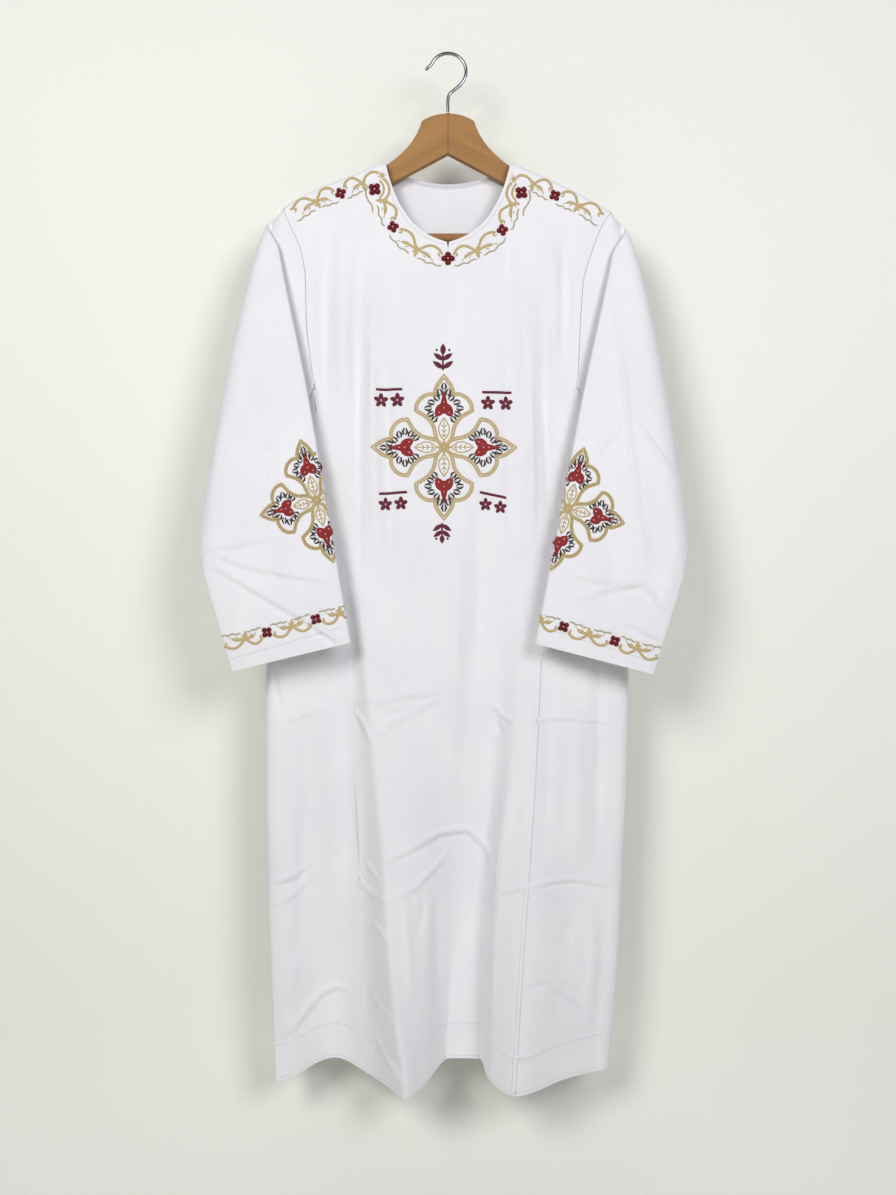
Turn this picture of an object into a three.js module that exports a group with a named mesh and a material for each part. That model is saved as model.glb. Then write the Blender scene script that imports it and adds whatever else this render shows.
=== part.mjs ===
// A white deacon's tunic with long sleeves on a flat wooden hanger, in millimetres.
// X runs across the shoulders, +Y is the back, -Y the front, +Z up. The origin is the point inside
// the top of the hanger's hook where the hook hangs on its rail.
// "Forward" below means a distance towards the front, so that Y = -forward.
import * as THREE from "three";

// ---- driving sizes --------------------------------------------------------------------------
const WALL = 1.3; // cloth thickness
const SEAM_GAP = 0.4; // space left between two sewn pieces
const SEAM_LAP = 2.1; // how far the sleeve stands outside the side panel at the armpit
const NECK_HALF_WIDTH = 81.5;
const FRONT_NECK_DROP = 108;
const BACK_NECK_DROP = 21.5;
const NECK_SLIT = { depth: 9, halfWidth: 1.6 };
const CREST_RADIUS = 9; // how far the cloth turns over the hanger's arm
const SIDE_TURN = 18; // width over which the side edge turns from front to back
const ARMPIT_Z = -440;
const BACK_HEM_Z = -1312;

// How finely the cloth is divided.
const ROWS_TO_ARMPIT = 8;
const FRONT_ROWS_BELOW = 15;
const BACK_ROWS_BELOW = 9;
const SLEEVE_ROWS = 23;

// The shoulders' outline: it starts at the neck and falls more steeply towards the sleeve.
const SHOULDERS = [
  // distance from the middle, left z, right z
  { x: 81.5, left: -142.5, right: -143.5 },
  { x: 128, left: -160.5, right: -162.5 },
  { x: 175, left: -178.5, right: -185 },
  { x: 206, left: -195, right: -202 },
  { x: 226, left: -210, right: -216 },
];
const SHOULDER_SEAM_X = 212; // where the armhole begins

const WOOD_THICKNESS = 11;
const WIRE_RADIUS = 2.2;

// ---- the front's seams, from shoulder to hem ---------------------------------------------------
const FRONT_SEAMS = [
  // z, left x, right x
  { z: -209, left: -212, right: 212 },
  { z: -222, left: -206, right: 202 },
  { z: -264, left: -189, right: 185 },
  { z: -300, left: -184, right: 175 },
  { z: -350, left: -183, right: 171 },
  { z: -396, left: -178, right: 169 },
  { z: -457, left: -169, right: 166 },
  { z: -607, left: -143, right: 147 },
  { z: -763, left: -125, right: 119 },
  { z: -920, left: -120, right: 110 },
  { z: -1050, left: -113, right: 101 },
  { z: -1181, left: -108, right: 91 },
  { z: -1330, left: -99, right: 81 },
];

const BACK_SEAMS = [
  // z, half width of the centre back
  { z: -209, half: 212 },
  { z: -222, half: 204 },
  { z: -264, half: 187 },
  { z: -350, half: 180 },
  { z: -457, half: 170 },
  { z: -763, half: 138 },
  { z: -1330, half: 122 },
];

// ---- fold lines of the front, each at eight levels -------------------------------------------
const LEVELS = [-267, -457, -607, -763, -920, -1050, -1181, -1320];
const FOLDS = [
  // name, x at each level, forward at each level; a sharp fold is a pressed crease
  {
    name: "left_edge",
    x: [-196, -190, -215, -235, -237, -234, -229, -221],
    forward: [3, 3, 4, 6, 8, 11, 15, 20],
  },
  {
    name: "left_turn",
    x: [-192, -178, -195, -214, -216, -213, -208, -198],
    forward: [13, 16, 17, 20, 22, 23, 22, 19],
  },
  {
    name: "left_valley",
    x: [-189, -173, -160, -154, -154, -153, -151, -149],
    forward: [14, 19, 20, 17, 14, 7, -2, -12],
  },
  {
    name: "left_seam",
    x: [-186, -169, -143, -125, -120, -113, -108, -99],
    forward: [14, 19, 20, 18, 17, 15, 14, 14],
  },
  {
    name: "left_crease",
    x: [-165, -150, -126, -109, -93, -80, -71, -52],
    forward: [15, 20, 23, 30, 38, 48, 58, 72],
    sharp: true,
  },
  {
    name: "left_face",
    x: [-90, -85, -72, -58, -44, -37, -32, -26],
    forward: [18, 24, 26, 28, 31, 35, 38, 40],
  },
  {
    name: "valley_left",
    x: [10, 15, 24, 20, 18, 16, 10, 5],
    forward: [22, 27, 28, 24, 17, 8, -1, -8],
  },
  {
    name: "valley_right",
    x: [50, 55, 62, 62, 57, 48, 41, 40],
    forward: [20, 24, 25, 20, 12, 4, -5, -12],
  },
  {
    name: "right_crease",
    x: [100, 104, 98, 93, 80, 63, 53, 49],
    forward: [18, 23, 25, 30, 34, 36, 38, 40],
    sharp: true,
  },
  {
    name: "right_seam",
    x: [184, 166, 147, 119, 110, 101, 91, 81],
    forward: [14, 19, 22, 31, 40, 48, 58, 68],
  },
  {
    name: "right_gore",
    x: [187, 172, 168, 166, 163, 160, 155, 142],
    forward: [14, 18, 20, 24, 27, 29, 32, 38],
  },
  {
    name: "right_turn",
    x: [190, 178, 194, 214, 212, 206, 200, 187],
    forward: [13, 15, 16, 18, 18, 18, 19, 20],
  },
  {
    name: "right_edge",
    x: [194, 191, 213, 235, 233, 227, 221, 208],
    forward: [3, 3, 4, 5, 5, 5, 6, 8],
  },
];

// Height of the front hem along the width: it rises where the cloth falls back.
const FRONT_HEM = [
  { x: -221, z: -1331 },
  { x: -149, z: -1313 },
  { x: -99, z: -1326 },
  { x: -52, z: -1331 },
  { x: 5, z: -1309 },
  { x: 44, z: -1310 },
  { x: 49, z: -1318 },
  { x: 90, z: -1328 },
  { x: 158, z: -1320 },
  { x: 208, z: -1316 },
];

// Soft folds that fan down from the shoulders: a trough runs from top to bottom, widening.
const DRAPES = [
  { topX: -150, topZ: -215, bottomX: -161, bottomZ: -470, width: 9, depth: 4 },
  { topX: -102, topZ: -200, bottomX: -118, bottomZ: -520, width: 10, depth: 5 },
  { topX: 98, topZ: -215, bottomX: 122, bottomZ: -560, width: 10, depth: 5 },
  { topX: 146, topZ: -225, bottomX: 148, bottomZ: -450, width: 9, depth: 4 },
];

// The back hangs flatter, in four shallow waves.
const BACK_WAVES = { count: 4, depth: 9, fullFrom: -500 };
const BACK_DEPTHS = [
  // z, distance of the back cloth behind the hanger's middle plane
  { z: -200, back: 12 },
  { z: -350, back: 13 },
  { z: -600, back: 18 },
  { z: -900, back: 24 },
  { z: -1320, back: 34 },
];

// Each sleeve comes out of the armhole, is folded forward over a slanting line from the shoulder
// and hangs in front of the body. Its edges are given in its own frame: "along" runs down that fold
// line, "over" is the distance beyond the line, measured on the unfolded cloth.
const SLEEVE = {
  foldAngle: 9.7, // degrees from vertical, outwards
  rollRadius: 17, // of the turn, well below the shoulder
  rollRadiusTop: 6,
  halfDepth: 8, // of the flattened sleeve, well below the shoulder
  halfDepthTop: 3,
  growth: 90, // distance over which both grow
  armpitOver: -72.8, // where the underarm seam starts
  topEdge: { along: 527, over: 195 }, // sleeve centre line at the cuff, turn left out
  underEdge: { along: 588, over: 107 }, // underarm seam at the cuff, on the unfolded cloth
  lean: 24, // how far the cuff swings forward of the shoulder
  cuffHalfDepth: 9,
};
const SLEEVE_SIDES = [
  // side, how much nearer the body it hangs in degrees, and where its fold line starts
  { name: "sleeve_left", side: -1, swing: 0, top: { x: 225, z: -212 } },
  { name: "sleeve_right", side: 1, swing: 0.9, top: { x: 221, z: -215 } },
];

// ---- small tools ---------------------------------------------------------------------------------
const clamp01 = (t) => Math.min(1, Math.max(0, t));
const smooth = (t) => clamp01(t) ** 2 * (3 - 2 * clamp01(t));
const mix = (a, b, t) => a + (b - a) * t;
const radians = (degrees) => (degrees * Math.PI) / 180;

// Monotone cubic through knots: no overshoot between them, level at each high and low.
function monotone(xs, ys, x) {
  const last = xs.length - 1;
  if (x <= xs[0]) return ys[0];
  if (x >= xs[last]) return ys[last];
  let i = 0;
  while (x > xs[i + 1]) i++;
  const secant = (k) => (ys[k + 1] - ys[k]) / (xs[k + 1] - xs[k]);
  const slope = (k) => {
    if (k === 0) return secant(0);
    if (k === last) return secant(last - 1);
    const before = secant(k - 1);
    const after = secant(k);
    return before * after <= 0 ? 0 : (2 * before * after) / (before + after);
  };
  const span = xs[i + 1] - xs[i];
  const t = (x - xs[i]) / span;
  const cubicA = (1 + 2 * t) * (1 - t) ** 2;
  const cubicB = t * t * (3 - 2 * t);
  const lift = t * (1 - t) * span;
  return ys[i] * cubicA + ys[i + 1] * cubicB + lift * ((1 - t) * slope(i) - t * slope(i + 1));
}

// A column of a table, read at height z. The table's rows run downwards.
const byHeight = (rows, key) => {
  const zs = rows.map((row) => -row.z);
  const values = rows.map((row) => row[key]);
  return (z) => monotone(zs, values, -z);
};

const seamLeft = byHeight(FRONT_SEAMS, "left");
const seamRight = byHeight(FRONT_SEAMS, "right");
const seamBack = byHeight(BACK_SEAMS, "half");
const backDepth = byHeight(BACK_DEPTHS, "back");
const levelHeights = LEVELS.map((z) => -z);
const foldX = (fold, z) => monotone(levelHeights, fold.x, -z);
const foldForward = (fold, z) => monotone(levelHeights, fold.forward, -z);
const foldNamed = (name) => FOLDS.find((fold) => fold.name === name);
const edgeX = (side, z) => foldX(foldNamed(side < 0 ? "left_edge" : "right_edge"), z);
const edgeForward = (side, z) => foldForward(foldNamed(side < 0 ? "left_edge" : "right_edge"), z);

const shoulderTable = (side) => (side < 0 ? "left" : "right");
function shoulderZ(x) {
  const side = shoulderTable(Math.sign(x));
  const [near, next] = SHOULDERS;
  const slope = (next[side] - near[side]) / (next.x - near.x);
  const inside = Math.min(0, Math.abs(x) - near.x);
  const xs = SHOULDERS.map((row) => row.x);
  const zs = SHOULDERS.map((row) => row[side]);
  return monotone(xs, zs, Math.abs(x)) + slope * inside;
}
// 0 on the shoulder's crest, 1 once the cloth hangs free below it.
const crest = (x, z) => {
  const below = clamp01((shoulderZ(x) - z) / CREST_RADIUS);
  return Math.sqrt(1 - (1 - below) ** 2);
};

// ---- the body's two surfaces, as a distance forward of the hanger's middle plane ----------------
function drapes(x, z) {
  return DRAPES.reduce((sum, drape) => {
    const t = (drape.topZ - z) / (drape.topZ - drape.bottomZ);
    if (t <= 0 || t >= 1) return sum;
    const width = drape.width * (1 + t);
    const off = (x - mix(drape.topX, drape.bottomX, t)) / width;
    return sum - drape.depth * Math.sin(Math.PI * t) ** 0.7 * Math.exp(-off * off);
  }, 0);
}

// Below the armpit the outermost lines are the side edges, where the front turns into the back.
function frontForward(x, z) {
  const below = z <= ARMPIT_Z;
  const lines = FOLDS.slice(1, -1);
  const xs = lines.map((line) => foldX(line, z));
  const ys = lines.map((line) => foldForward(line, z));
  // A sharp line ends one stretch of curve and starts the next, so that the crease stays crisp.
  const cuts = lines.flatMap((line, i) => (line.sharp ? [i] : []));
  const bounds = [0, ...cuts, lines.length - 1];
  const stretch = bounds.slice(1).findIndex((end) => x <= xs[end]);
  const from = bounds[stretch < 0 ? bounds.length - 2 : stretch];
  const to = bounds[stretch < 0 ? bounds.length - 1 : stretch + 1];
  let forward = monotone(xs.slice(from, to + 1), ys.slice(from, to + 1), x) + drapes(x, z);
  if (below) {
    const side = Math.sign(x);
    const inside = clamp01((Math.abs(edgeX(side, z)) - Math.abs(x)) / SIDE_TURN);
    forward = mix(edgeForward(side, z), forward, Math.sqrt(1 - (1 - inside) ** 2));
  }
  return forward * crest(x, z);
}

function backForward(x, z) {
  const wave = Math.cos((Math.PI * 2 * BACK_WAVES.count * x) / 470);
  const share = smooth((-200 - z) / (-200 - BACK_WAVES.fullFrom));
  let forward = -backDepth(z) - BACK_WAVES.depth * share * wave * smooth((-z - 150) / 1000);
  if (z <= ARMPIT_Z) {
    const side = Math.sign(x);
    const inside = clamp01((Math.abs(edgeX(side, z)) - Math.abs(x)) / SIDE_TURN);
    forward = mix(edgeForward(side, z), forward, Math.sqrt(1 - (1 - inside) ** 2));
  }
  return forward * crest(x, z);
}

// ---- walls: a grid of outer points, thickened inwards along the surface's normal ----------------
function grid(rows, columns, pointAt) {
  return Array.from({ length: rows }, (_, r) =>
    Array.from({ length: columns }, (_, c) => pointAt(r, c)),
  );
}

function normals(points, closed) {
  const rows = points.length;
  const columns = points[0].length;
  const column = (c) => (closed ? (c + columns) % columns : Math.min(columns - 1, Math.max(0, c)));
  const at = (r, c) => points[r][column(c)];
  return grid(rows, columns, (r, c) => {
    const down = at(Math.min(rows - 1, r + 1), c).clone().sub(at(Math.max(0, r - 1), c));
    const across = at(r, c + 1).clone().sub(at(r, c - 1));
    return down.cross(across).normalize();
  });
}

// The outer points face along down x across; the inner ones lie a wall's thickness behind them.
// At a seam the thickness is measured square to the seam, so that both pieces end alike: "seams"
// names, for a row and a column, the axis that the seam crosses there.
function wall(name, points, material, { closed = false, seams = () => null } = {}) {
  const rows = points.length;
  const columns = points[0].length;
  const facing = normals(points, closed);
  const inner = grid(rows, columns, (r, c) => {
    const across = seams(r, c);
    if (across) facing[r][c].setComponent("xyz".indexOf(across), 0).normalize();
    return points[r][c].clone().addScaledVector(facing[r][c], -WALL);
  });
  const position = [points, inner].flat(2).flatMap((p) => [p.x, p.y, p.z]);
  const id = (sheet, r, c) => sheet * rows * columns + r * columns + (closed ? c % columns : c);
  const index = [];
  const quad = (a, b, c, d) => index.push(a, b, c, a, c, d);
  const spans = closed ? columns : columns - 1;
  for (let r = 0; r < rows - 1; r++)
    for (let c = 0; c < spans; c++) {
      quad(id(0, r, c), id(0, r + 1, c), id(0, r + 1, c + 1), id(0, r, c + 1));
      quad(id(1, r, c), id(1, r, c + 1), id(1, r + 1, c + 1), id(1, r + 1, c));
    }
  for (let c = 0; c < spans; c++) {
    quad(id(0, 0, c), id(0, 0, c + 1), id(1, 0, c + 1), id(1, 0, c));
    const r = rows - 1;
    quad(id(0, r, c), id(1, r, c), id(1, r, c + 1), id(0, r, c + 1));
  }
  if (!closed)
    for (let r = 0; r < rows - 1; r++) {
      const c = columns - 1;
      quad(id(0, r, 0), id(1, r, 0), id(1, r + 1, 0), id(0, r + 1, 0));
      quad(id(0, r, c), id(0, r + 1, c), id(1, r + 1, c), id(1, r, c));
    }
  const geometry = new THREE.BufferGeometry();
  geometry.setAttribute("position", new THREE.Float32BufferAttribute(position, 3));
  geometry.setIndex(index);
  return piece(name, geometry, material);
}

const sideSeams = (columns) => (r, c) => (c === 0 || c === columns - 1 ? "x" : null);
const panelSeams = (tops) => (r, c) => {
  const onShoulder = Math.abs(tops[c].x ?? NECK_HALF_WIDTH) >= NECK_HALF_WIDTH;
  return r === 0 && onShoulder ? "y" : sideSeams(tops.length)(r, c);
};

function piece(name, geometry, material) {
  const mesh = new THREE.Mesh(geometry, material);
  mesh.name = name;
  return mesh;
}

// Heights down a column: close together where the cloth turns over the shoulder, then evenly to the
// armpit and from there to the hem.
const CREST_STEPS = [0, 0.7, 2.6, 6, 11, 22];
const spread = (from, to, count) =>
  Array.from({ length: count }, (_, k) => mix(from, to, (k + 1) / count));
function heights(top, bottom, rowsBelow) {
  const start = top - CREST_STEPS.at(-1);
  return [
    ...CREST_STEPS.map((step) => top - step),
    ...spread(start, ARMPIT_Z, ROWS_TO_ARMPIT),
    ...spread(ARMPIT_Z, bottom, rowsBelow),
  ];
}

// ---- front and back panels -----------------------------------------------------------------------
const bezier = (a, b, c, d, t) =>
  a * (1 - t) ** 3 + 3 * b * t * (1 - t) ** 2 + 3 * c * t * t * (1 - t) + d * t ** 3;

// The neckline from shoulder to centre: t is 0 at the shoulder and 1 at the centre.
const NECK_TOP_Z = -143;
const frontNeck = (t) => ({
  x: bezier(NECK_HALF_WIDTH, 73, 52, 0, t),
  z: NECK_TOP_Z - FRONT_NECK_DROP * bezier(0, 0.41, 0.9, 1, t),
});
const backNeck = (t) => ({
  x: bezier(NECK_HALF_WIDTH, 62, 33, 0, t),
  z: NECK_TOP_Z - BACK_NECK_DROP * bezier(0, 0.45, 0.98, 1, t),
});

// Tops of the columns from the left seam to the right one: shoulder, neck, shoulder.
function columnTops(neck, perShoulder, perNeck, slit) {
  const shoulder = Array.from({ length: perShoulder }, (_, k) => ({ share: 1 - k / perShoulder }));
  const even = Array.from({ length: perNeck - 2 }, (_, k) => (k + 1) / (perNeck - 1));
  const neckSteps = [0, 0.02, 0.07, ...even].map(neck);
  const half = [...shoulder, ...neckSteps];
  const centre = slit
    ? [
        { x: slit.halfWidth, z: neck(1).z },
        { x: 0, z: neck(1).z - slit.depth },
      ]
    : [neck(1)];
  const left = [...half, ...centre].map((top) => ({ ...top, side: -1 }));
  return [...left, ...left.slice(0, -1).reverse().map((top) => ({ ...top, side: 1 }))];
}

// Columns start at their tops and gather onto the fold lines further down.
function columnX(top, seam, z, gathered) {
  const free = top.share === undefined ? top.x : mix(NECK_HALF_WIDTH, Math.abs(seam), top.share);
  return mix(top.side * free, gathered, smooth((-z - 270) / 330));
}

const FRONT_ANCHORS = [
  // column, and the fold line that it follows once it hangs free
  { column: 0, fold: "left_seam" },
  { column: 3, fold: "left_crease" },
  { column: 6, fold: "left_face" },
  { column: 12, fold: "valley_left" },
  { column: 14, fold: "valley_right" },
  { column: 17, fold: "right_crease" },
  { column: 24, fold: "right_seam" },
];

function gatheredX(column, z) {
  const xs = FRONT_ANCHORS.map(({ fold }) => {
    if (fold === "left_seam") return seamLeft(z);
    if (fold === "right_seam") return seamRight(z);
    return foldX(foldNamed(fold), z);
  });
  const next = FRONT_ANCHORS.findIndex((anchor) => anchor.column > column);
  if (next < 0) return xs.at(-1);
  const [a, b] = [FRONT_ANCHORS[next - 1], FRONT_ANCHORS[next]];
  return mix(xs[next - 1], xs[next], (column - a.column) / (b.column - a.column));
}

const frontHemZ = (x) =>
  monotone(FRONT_HEM.map((row) => row.x), FRONT_HEM.map((row) => row.z), x);


function frontPanel(material) {
  const tops = columnTops(frontNeck, 4, 9, NECK_SLIT);
  const lastColumn = tops.length - 1;
  const columns = tops.map((top, c) => {
    const seam = top.side < 0 ? seamLeft : seamRight;
    const onShoulder = top.x === undefined;
    const topX = top.side * (onShoulder ? mix(NECK_HALF_WIDTH, SHOULDER_SEAM_X, top.share) : top.x);
    const topZ = top.z === undefined ? shoulderZ(topX) : top.z;
    const hemX = gatheredX((c * 24) / lastColumn, -1320);
    return heights(topZ, frontHemZ(hemX), FRONT_ROWS_BELOW).map((z) => {
      let x = columnX(top, seam(z), z, gatheredX((c * 24) / lastColumn, z));
      if (c === 0) x = seamLeft(z) + SEAM_GAP;
      if (c === lastColumn) x = seamRight(z) - SEAM_GAP;
      return new THREE.Vector3(x, -Math.max(frontForward(x, z), SEAM_GAP), z);
    });
  });
  const rows = columns[0].length;
  const points = grid(rows, columns.length, (r, c) => columns[c][r]);
  return wall("front_panel", points, material, { seams: panelSeams(tops) });
}

function backPanel(material) {
  const tops = columnTops(backNeck, 3, 6, null);
  const columns = tops.reverse().map((top, c) => {
    const share = top.share;
    const seamAt = (z) => seamBack(z) - SEAM_GAP;
    const topX = share === undefined ? top.x : mix(NECK_HALF_WIDTH, SHOULDER_SEAM_X, share);
    const topZ = top.z === undefined ? shoulderZ(top.side * topX) : top.z;
    const order = (c / (tops.length - 1)) * 2 - 1; // -1 at the first column, 1 at the last
    return heights(topZ, BACK_HEM_Z, BACK_ROWS_BELOW).map((z) => {
      const free = share === undefined ? top.x : mix(NECK_HALF_WIDTH, seamAt(z), share);
      const even = Math.abs(order) * seamAt(z);
      const x = top.side * mix(free, even, smooth((-z - 230) / 300));
      return new THREE.Vector3(x, -Math.min(backForward(x, z), -SEAM_GAP), z);
    });
  });
  const rows = columns[0].length;
  const points = grid(rows, columns.length, (r, c) => columns[c][r]);
  return wall("back_panel", points, material, { seams: panelSeams(tops) });
}

// ---- side panels ----------------------------------------------------------------------------------
// Shares of the way from the front seam to the side edge and back to the back seam.
const SIDE_STEPS = [0, 0.3, 0.6, 0.85, 0.97];

function sidePanel(name, side, material) {
  const half = [...SIDE_STEPS.map((share) => ({ share, front: true })), { share: 1, front: true }];
  const around = [...half, ...SIDE_STEPS.map((share) => ({ share, front: false })).reverse()];
  if (side < 0) around.reverse();
  const seam = side < 0 ? seamLeft : seamRight;
  const top = ARMPIT_Z - SEAM_GAP;
  const edgeHem = frontHemZ(edgeX(side, BACK_HEM_Z));
  const points = grid(FRONT_ROWS_BELOW + 1, around.length, (r, c) => {
    const { share, front } = around[c];
    const seamX = (z) => (front ? seam(z) + side * SEAM_GAP : side * (seamBack(z) + SEAM_GAP));
    const xAt = (z) => mix(seamX(z), edgeX(side, z), share);
    const hem = front ? frontHemZ(xAt(BACK_HEM_Z)) : mix(BACK_HEM_Z, edgeHem, share * share);
    const z = [top, ...spread(ARMPIT_Z, hem, FRONT_ROWS_BELOW)][r];
    const x = xAt(z);
    return new THREE.Vector3(x, -(front ? frontForward(x, z) : backForward(x, z)), z);
  });
  return wall(name, points, material, { seams: sideSeams(around.length) });
}

// ---- sleeves --------------------------------------------------------------------------------------

// The armhole's points from the shoulder to the armpit and along the side panel's top, on the front
// (layer 1) or the back (layer -1); share is 0 at the shoulder and 1 at the armpit's middle.
function armhole(side, layer) {
  const front = layer > 0;
  const seam = front ? (side < 0 ? seamLeft : seamRight) : (z) => side * seamBack(z);
  const surface = front ? frontForward : backForward;
  const rows = heights(shoulderZ(side * SHOULDER_SEAM_X), BACK_HEM_Z, 1).slice(0, -1);
  const down = rows.map((z) => {
    const x = seam(z) + side * SEAM_GAP;
    const lap = z > ARMPIT_Z + 1 ? 0 : layer * SEAM_LAP;
    return { x, z, forward: surface(x, z) + lap };
  });
  const under = [...SIDE_STEPS.slice(1), 1].map((share) => {
    const x = mix(seam(ARMPIT_Z), edgeX(side, ARMPIT_Z) + side * SEAM_LAP, share);
    const inside = side * Math.min(side * x, side * edgeX(side, ARMPIT_Z) - 0.01);
    return { x, z: ARMPIT_Z + SEAM_GAP, forward: surface(inside, ARMPIT_Z) + layer * SEAM_LAP };
  });
  const ring = [...down, ...under];
  const lengths = ring.map((p, i) => (i ? Math.hypot(p.x - ring[i - 1].x, p.z - ring[i - 1].z) : 0));
  const reach = lengths.map((_, i) => lengths.slice(0, i + 1).reduce((sum, d) => sum + d, 0));
  const last = ring.length - 1;
  return ring.map((p, i) => ({ ...p, layer, order: i / last, share: reach[i] / reach[last] }));
}

// The share of the ring's width at which a column lies where the sleeve reaches from "overTop" to
// "overUnder": columns are close together at both edges and on the turn of the fold.
const TURN_CROWDING = 2.2;
function gatheredShare(overTop, overUnder, turn, order) {
  const crowd = (over) => over + TURN_CROWDING * Math.min(turn, Math.max(0, over));
  const spreadOut = (value) => {
    if (value < 0) return value;
    const inTurn = value / (1 + TURN_CROWDING);
    return inTurn < turn ? inTurn : value - TURN_CROWDING * turn;
  };
  const eased = mix(order, (1 - Math.cos(Math.PI * order)) / 2, 0.6);
  const over = spreadOut(mix(crowd(overTop), crowd(overUnder), eased));
  return clamp01((over - overTop) / (overUnder - overTop));
}

function sleevePoint({ side, swing, top: foldTop }, k, hole) {
  const angle = radians(SLEEVE.foldAngle - swing);
  const down = { x: side * Math.sin(angle), z: -Math.cos(angle) };
  const out = { x: side * Math.cos(angle), z: Math.sin(angle) };
  const top = { x: side * foldTop.x, z: foldTop.z };
  const [dx, dz] = [hole.x - top.x, hole.z - top.z];
  const holeAlong = dx * down.x + dz * down.z;
  const holeOver = dx * out.x + dz * out.z;
  const grown = (along) => 1 - Math.exp(-Math.max(0, along) / SLEEVE.growth);
  const rollAt = (along) => mix(SLEEVE.rollRadiusTop, SLEEVE.rollRadius, grown(along));
  const reach = SLEEVE.topEdge.along * k;
  const turnWidth = Math.PI * rollAt(reach) * smooth(reach / 60);
  const overTop = SLEEVE.topEdge.over * k + turnWidth;
  const overUnder = mix(SLEEVE.armpitOver, SLEEVE.underEdge.over, k);
  const free = gatheredShare(overTop, overUnder, turnWidth, hole.order);
  const share = mix(hole.share, free, smooth(k / 0.2));
  const along = mix(holeAlong, mix(SLEEVE.topEdge.along, SLEEVE.underEdge.along, share), k);
  const bend = holeOver - mix(0, SLEEVE.armpitOver, hole.share);
  const over = mix(overTop, overUnder, share) + bend * (1 - smooth(k / 0.5));
  const own = mix(SLEEVE.halfDepthTop, SLEEVE.halfDepth, grown(along));
  const rim = (1 - Math.abs(2 * share - 1) ** 2.6) ** (1 / 2.6);
  const flattened = Math.max(smooth(k / 0.22), k > 0 ? smooth((over + 12) / 24) : 0);
  const offset = mix(hole.forward, hole.layer * own * rim, flattened);
  const roll = rollAt(along);
  const turn = Math.min(Math.PI, Math.max(0, over) / roll);
  const radius = roll - offset;
  const beyond = Math.max(0, over - Math.PI * roll);
  const outwards = over <= 0 ? over : radius * Math.sin(turn) - beyond;
  const lean = SLEEVE.lean * smooth((along - 60) / 480) * (turn / Math.PI);
  const x = top.x + along * down.x + outwards * out.x;
  const z = top.z + along * down.z + outwards * out.z;
  let forward = roll - radius * Math.cos(turn) + lean;
  // Below the armpit the sleeve's back and underside pass outside the side panel.
  const beside = Math.abs(x) - Math.abs(edgeX(side, z));
  if (over < 0 && z < ARMPIT_Z + 1 && beside < SEAM_LAP) {
    const inside = side * Math.min(side * x, side * edgeX(side, z));
    const skin = (hole.layer > 0 ? frontForward : backForward)(inside, z);
    forward = hole.layer * Math.max(hole.layer * forward, hole.layer * skin + SEAM_LAP);
  }
  return new THREE.Vector3(x, -forward, z);
}

function sleeve(which, material) {
  const { name, side } = which;
  const around = [...armhole(side, 1), ...armhole(side, -1).slice(1, -1).reverse()];
  around[0].forward = 0;
  if (side > 0) around.reverse();
  const points = grid(SLEEVE_ROWS, around.length, (r, c) =>
    sleevePoint(which, r / (SLEEVE_ROWS - 1), around[c]),
  );
  const seams = (r, c) => (r > 0 ? null : around[c].z > ARMPIT_Z + 2 * SEAM_GAP ? "x" : "z");
  return wall(name, points, material, { closed: true, seams });
}

// ---- the hanger --------------------------------------------------------------------------------------
const ARM_END_X = 203;
const ARM_GAP = 0.3;
const ARM_UNDER_CLOTH = 4; // below the outside of the shoulder's crest
// The arms' lower edges fall away from the middle, and lobes at their ends hold the bar.
const ARM_LOWER = { centreZ: -130, slope: 0.53, lobeX: 168, lobeZ: -249 };
const BAR = { radius: 6, z: -239 };

function hangerArm(name, side, material) {
  const cloth = (x) => shoulderZ(side * x) - ARM_UNDER_CLOTH;
  const shoulder = spread(NECK_HALF_WIDTH, ARM_END_X - 12, 8);
  const outline = new THREE.Shape();
  outline.moveTo(ARM_GAP / 2, -78);
  outline.quadraticCurveTo(20, -78.5, 34, -88);
  outline.bezierCurveTo(40, -108, 52, -127, NECK_HALF_WIDTH, cloth(NECK_HALF_WIDTH));
  shoulder.forEach((x) => outline.lineTo(x, cloth(x)));
  outline.quadraticCurveTo(ARM_END_X, cloth(ARM_END_X), ARM_END_X, cloth(ARM_END_X) - 14);
  outline.lineTo(ARM_END_X, ARM_LOWER.lobeZ + 14);
  outline.quadraticCurveTo(ARM_END_X, ARM_LOWER.lobeZ, ARM_END_X - 14, ARM_LOWER.lobeZ);
  outline.lineTo(ARM_LOWER.lobeX, ARM_LOWER.lobeZ);
  outline.lineTo(ARM_LOWER.lobeX, ARM_LOWER.centreZ - ARM_LOWER.slope * ARM_LOWER.lobeX);
  outline.lineTo(ARM_GAP / 2, ARM_LOWER.centreZ);
  const geometry = new THREE.ExtrudeGeometry(outline, {
    depth: WOOD_THICKNESS - 2.4,
    bevelEnabled: true,
    bevelThickness: 1.2,
    bevelSize: 1,
    bevelOffset: -1,
    bevelSegments: 2,
    curveSegments: 7,
  });
  geometry.translate(0, 0, -(WOOD_THICKNESS - 2.4) / 2);
  geometry.rotateX(Math.PI / 2);
  if (side < 0) geometry.rotateZ(Math.PI);
  return piece(name, geometry, material);
}

function trouserBar(material) {
  const length = 2 * (ARM_LOWER.lobeX - ARM_GAP);
  const geometry = new THREE.CylinderGeometry(BAR.radius, BAR.radius, length, 20);
  geometry.rotateZ(Math.PI / 2);
  geometry.translate(0, 0, BAR.z);
  return piece("trouser_bar", geometry, material);
}

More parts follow.
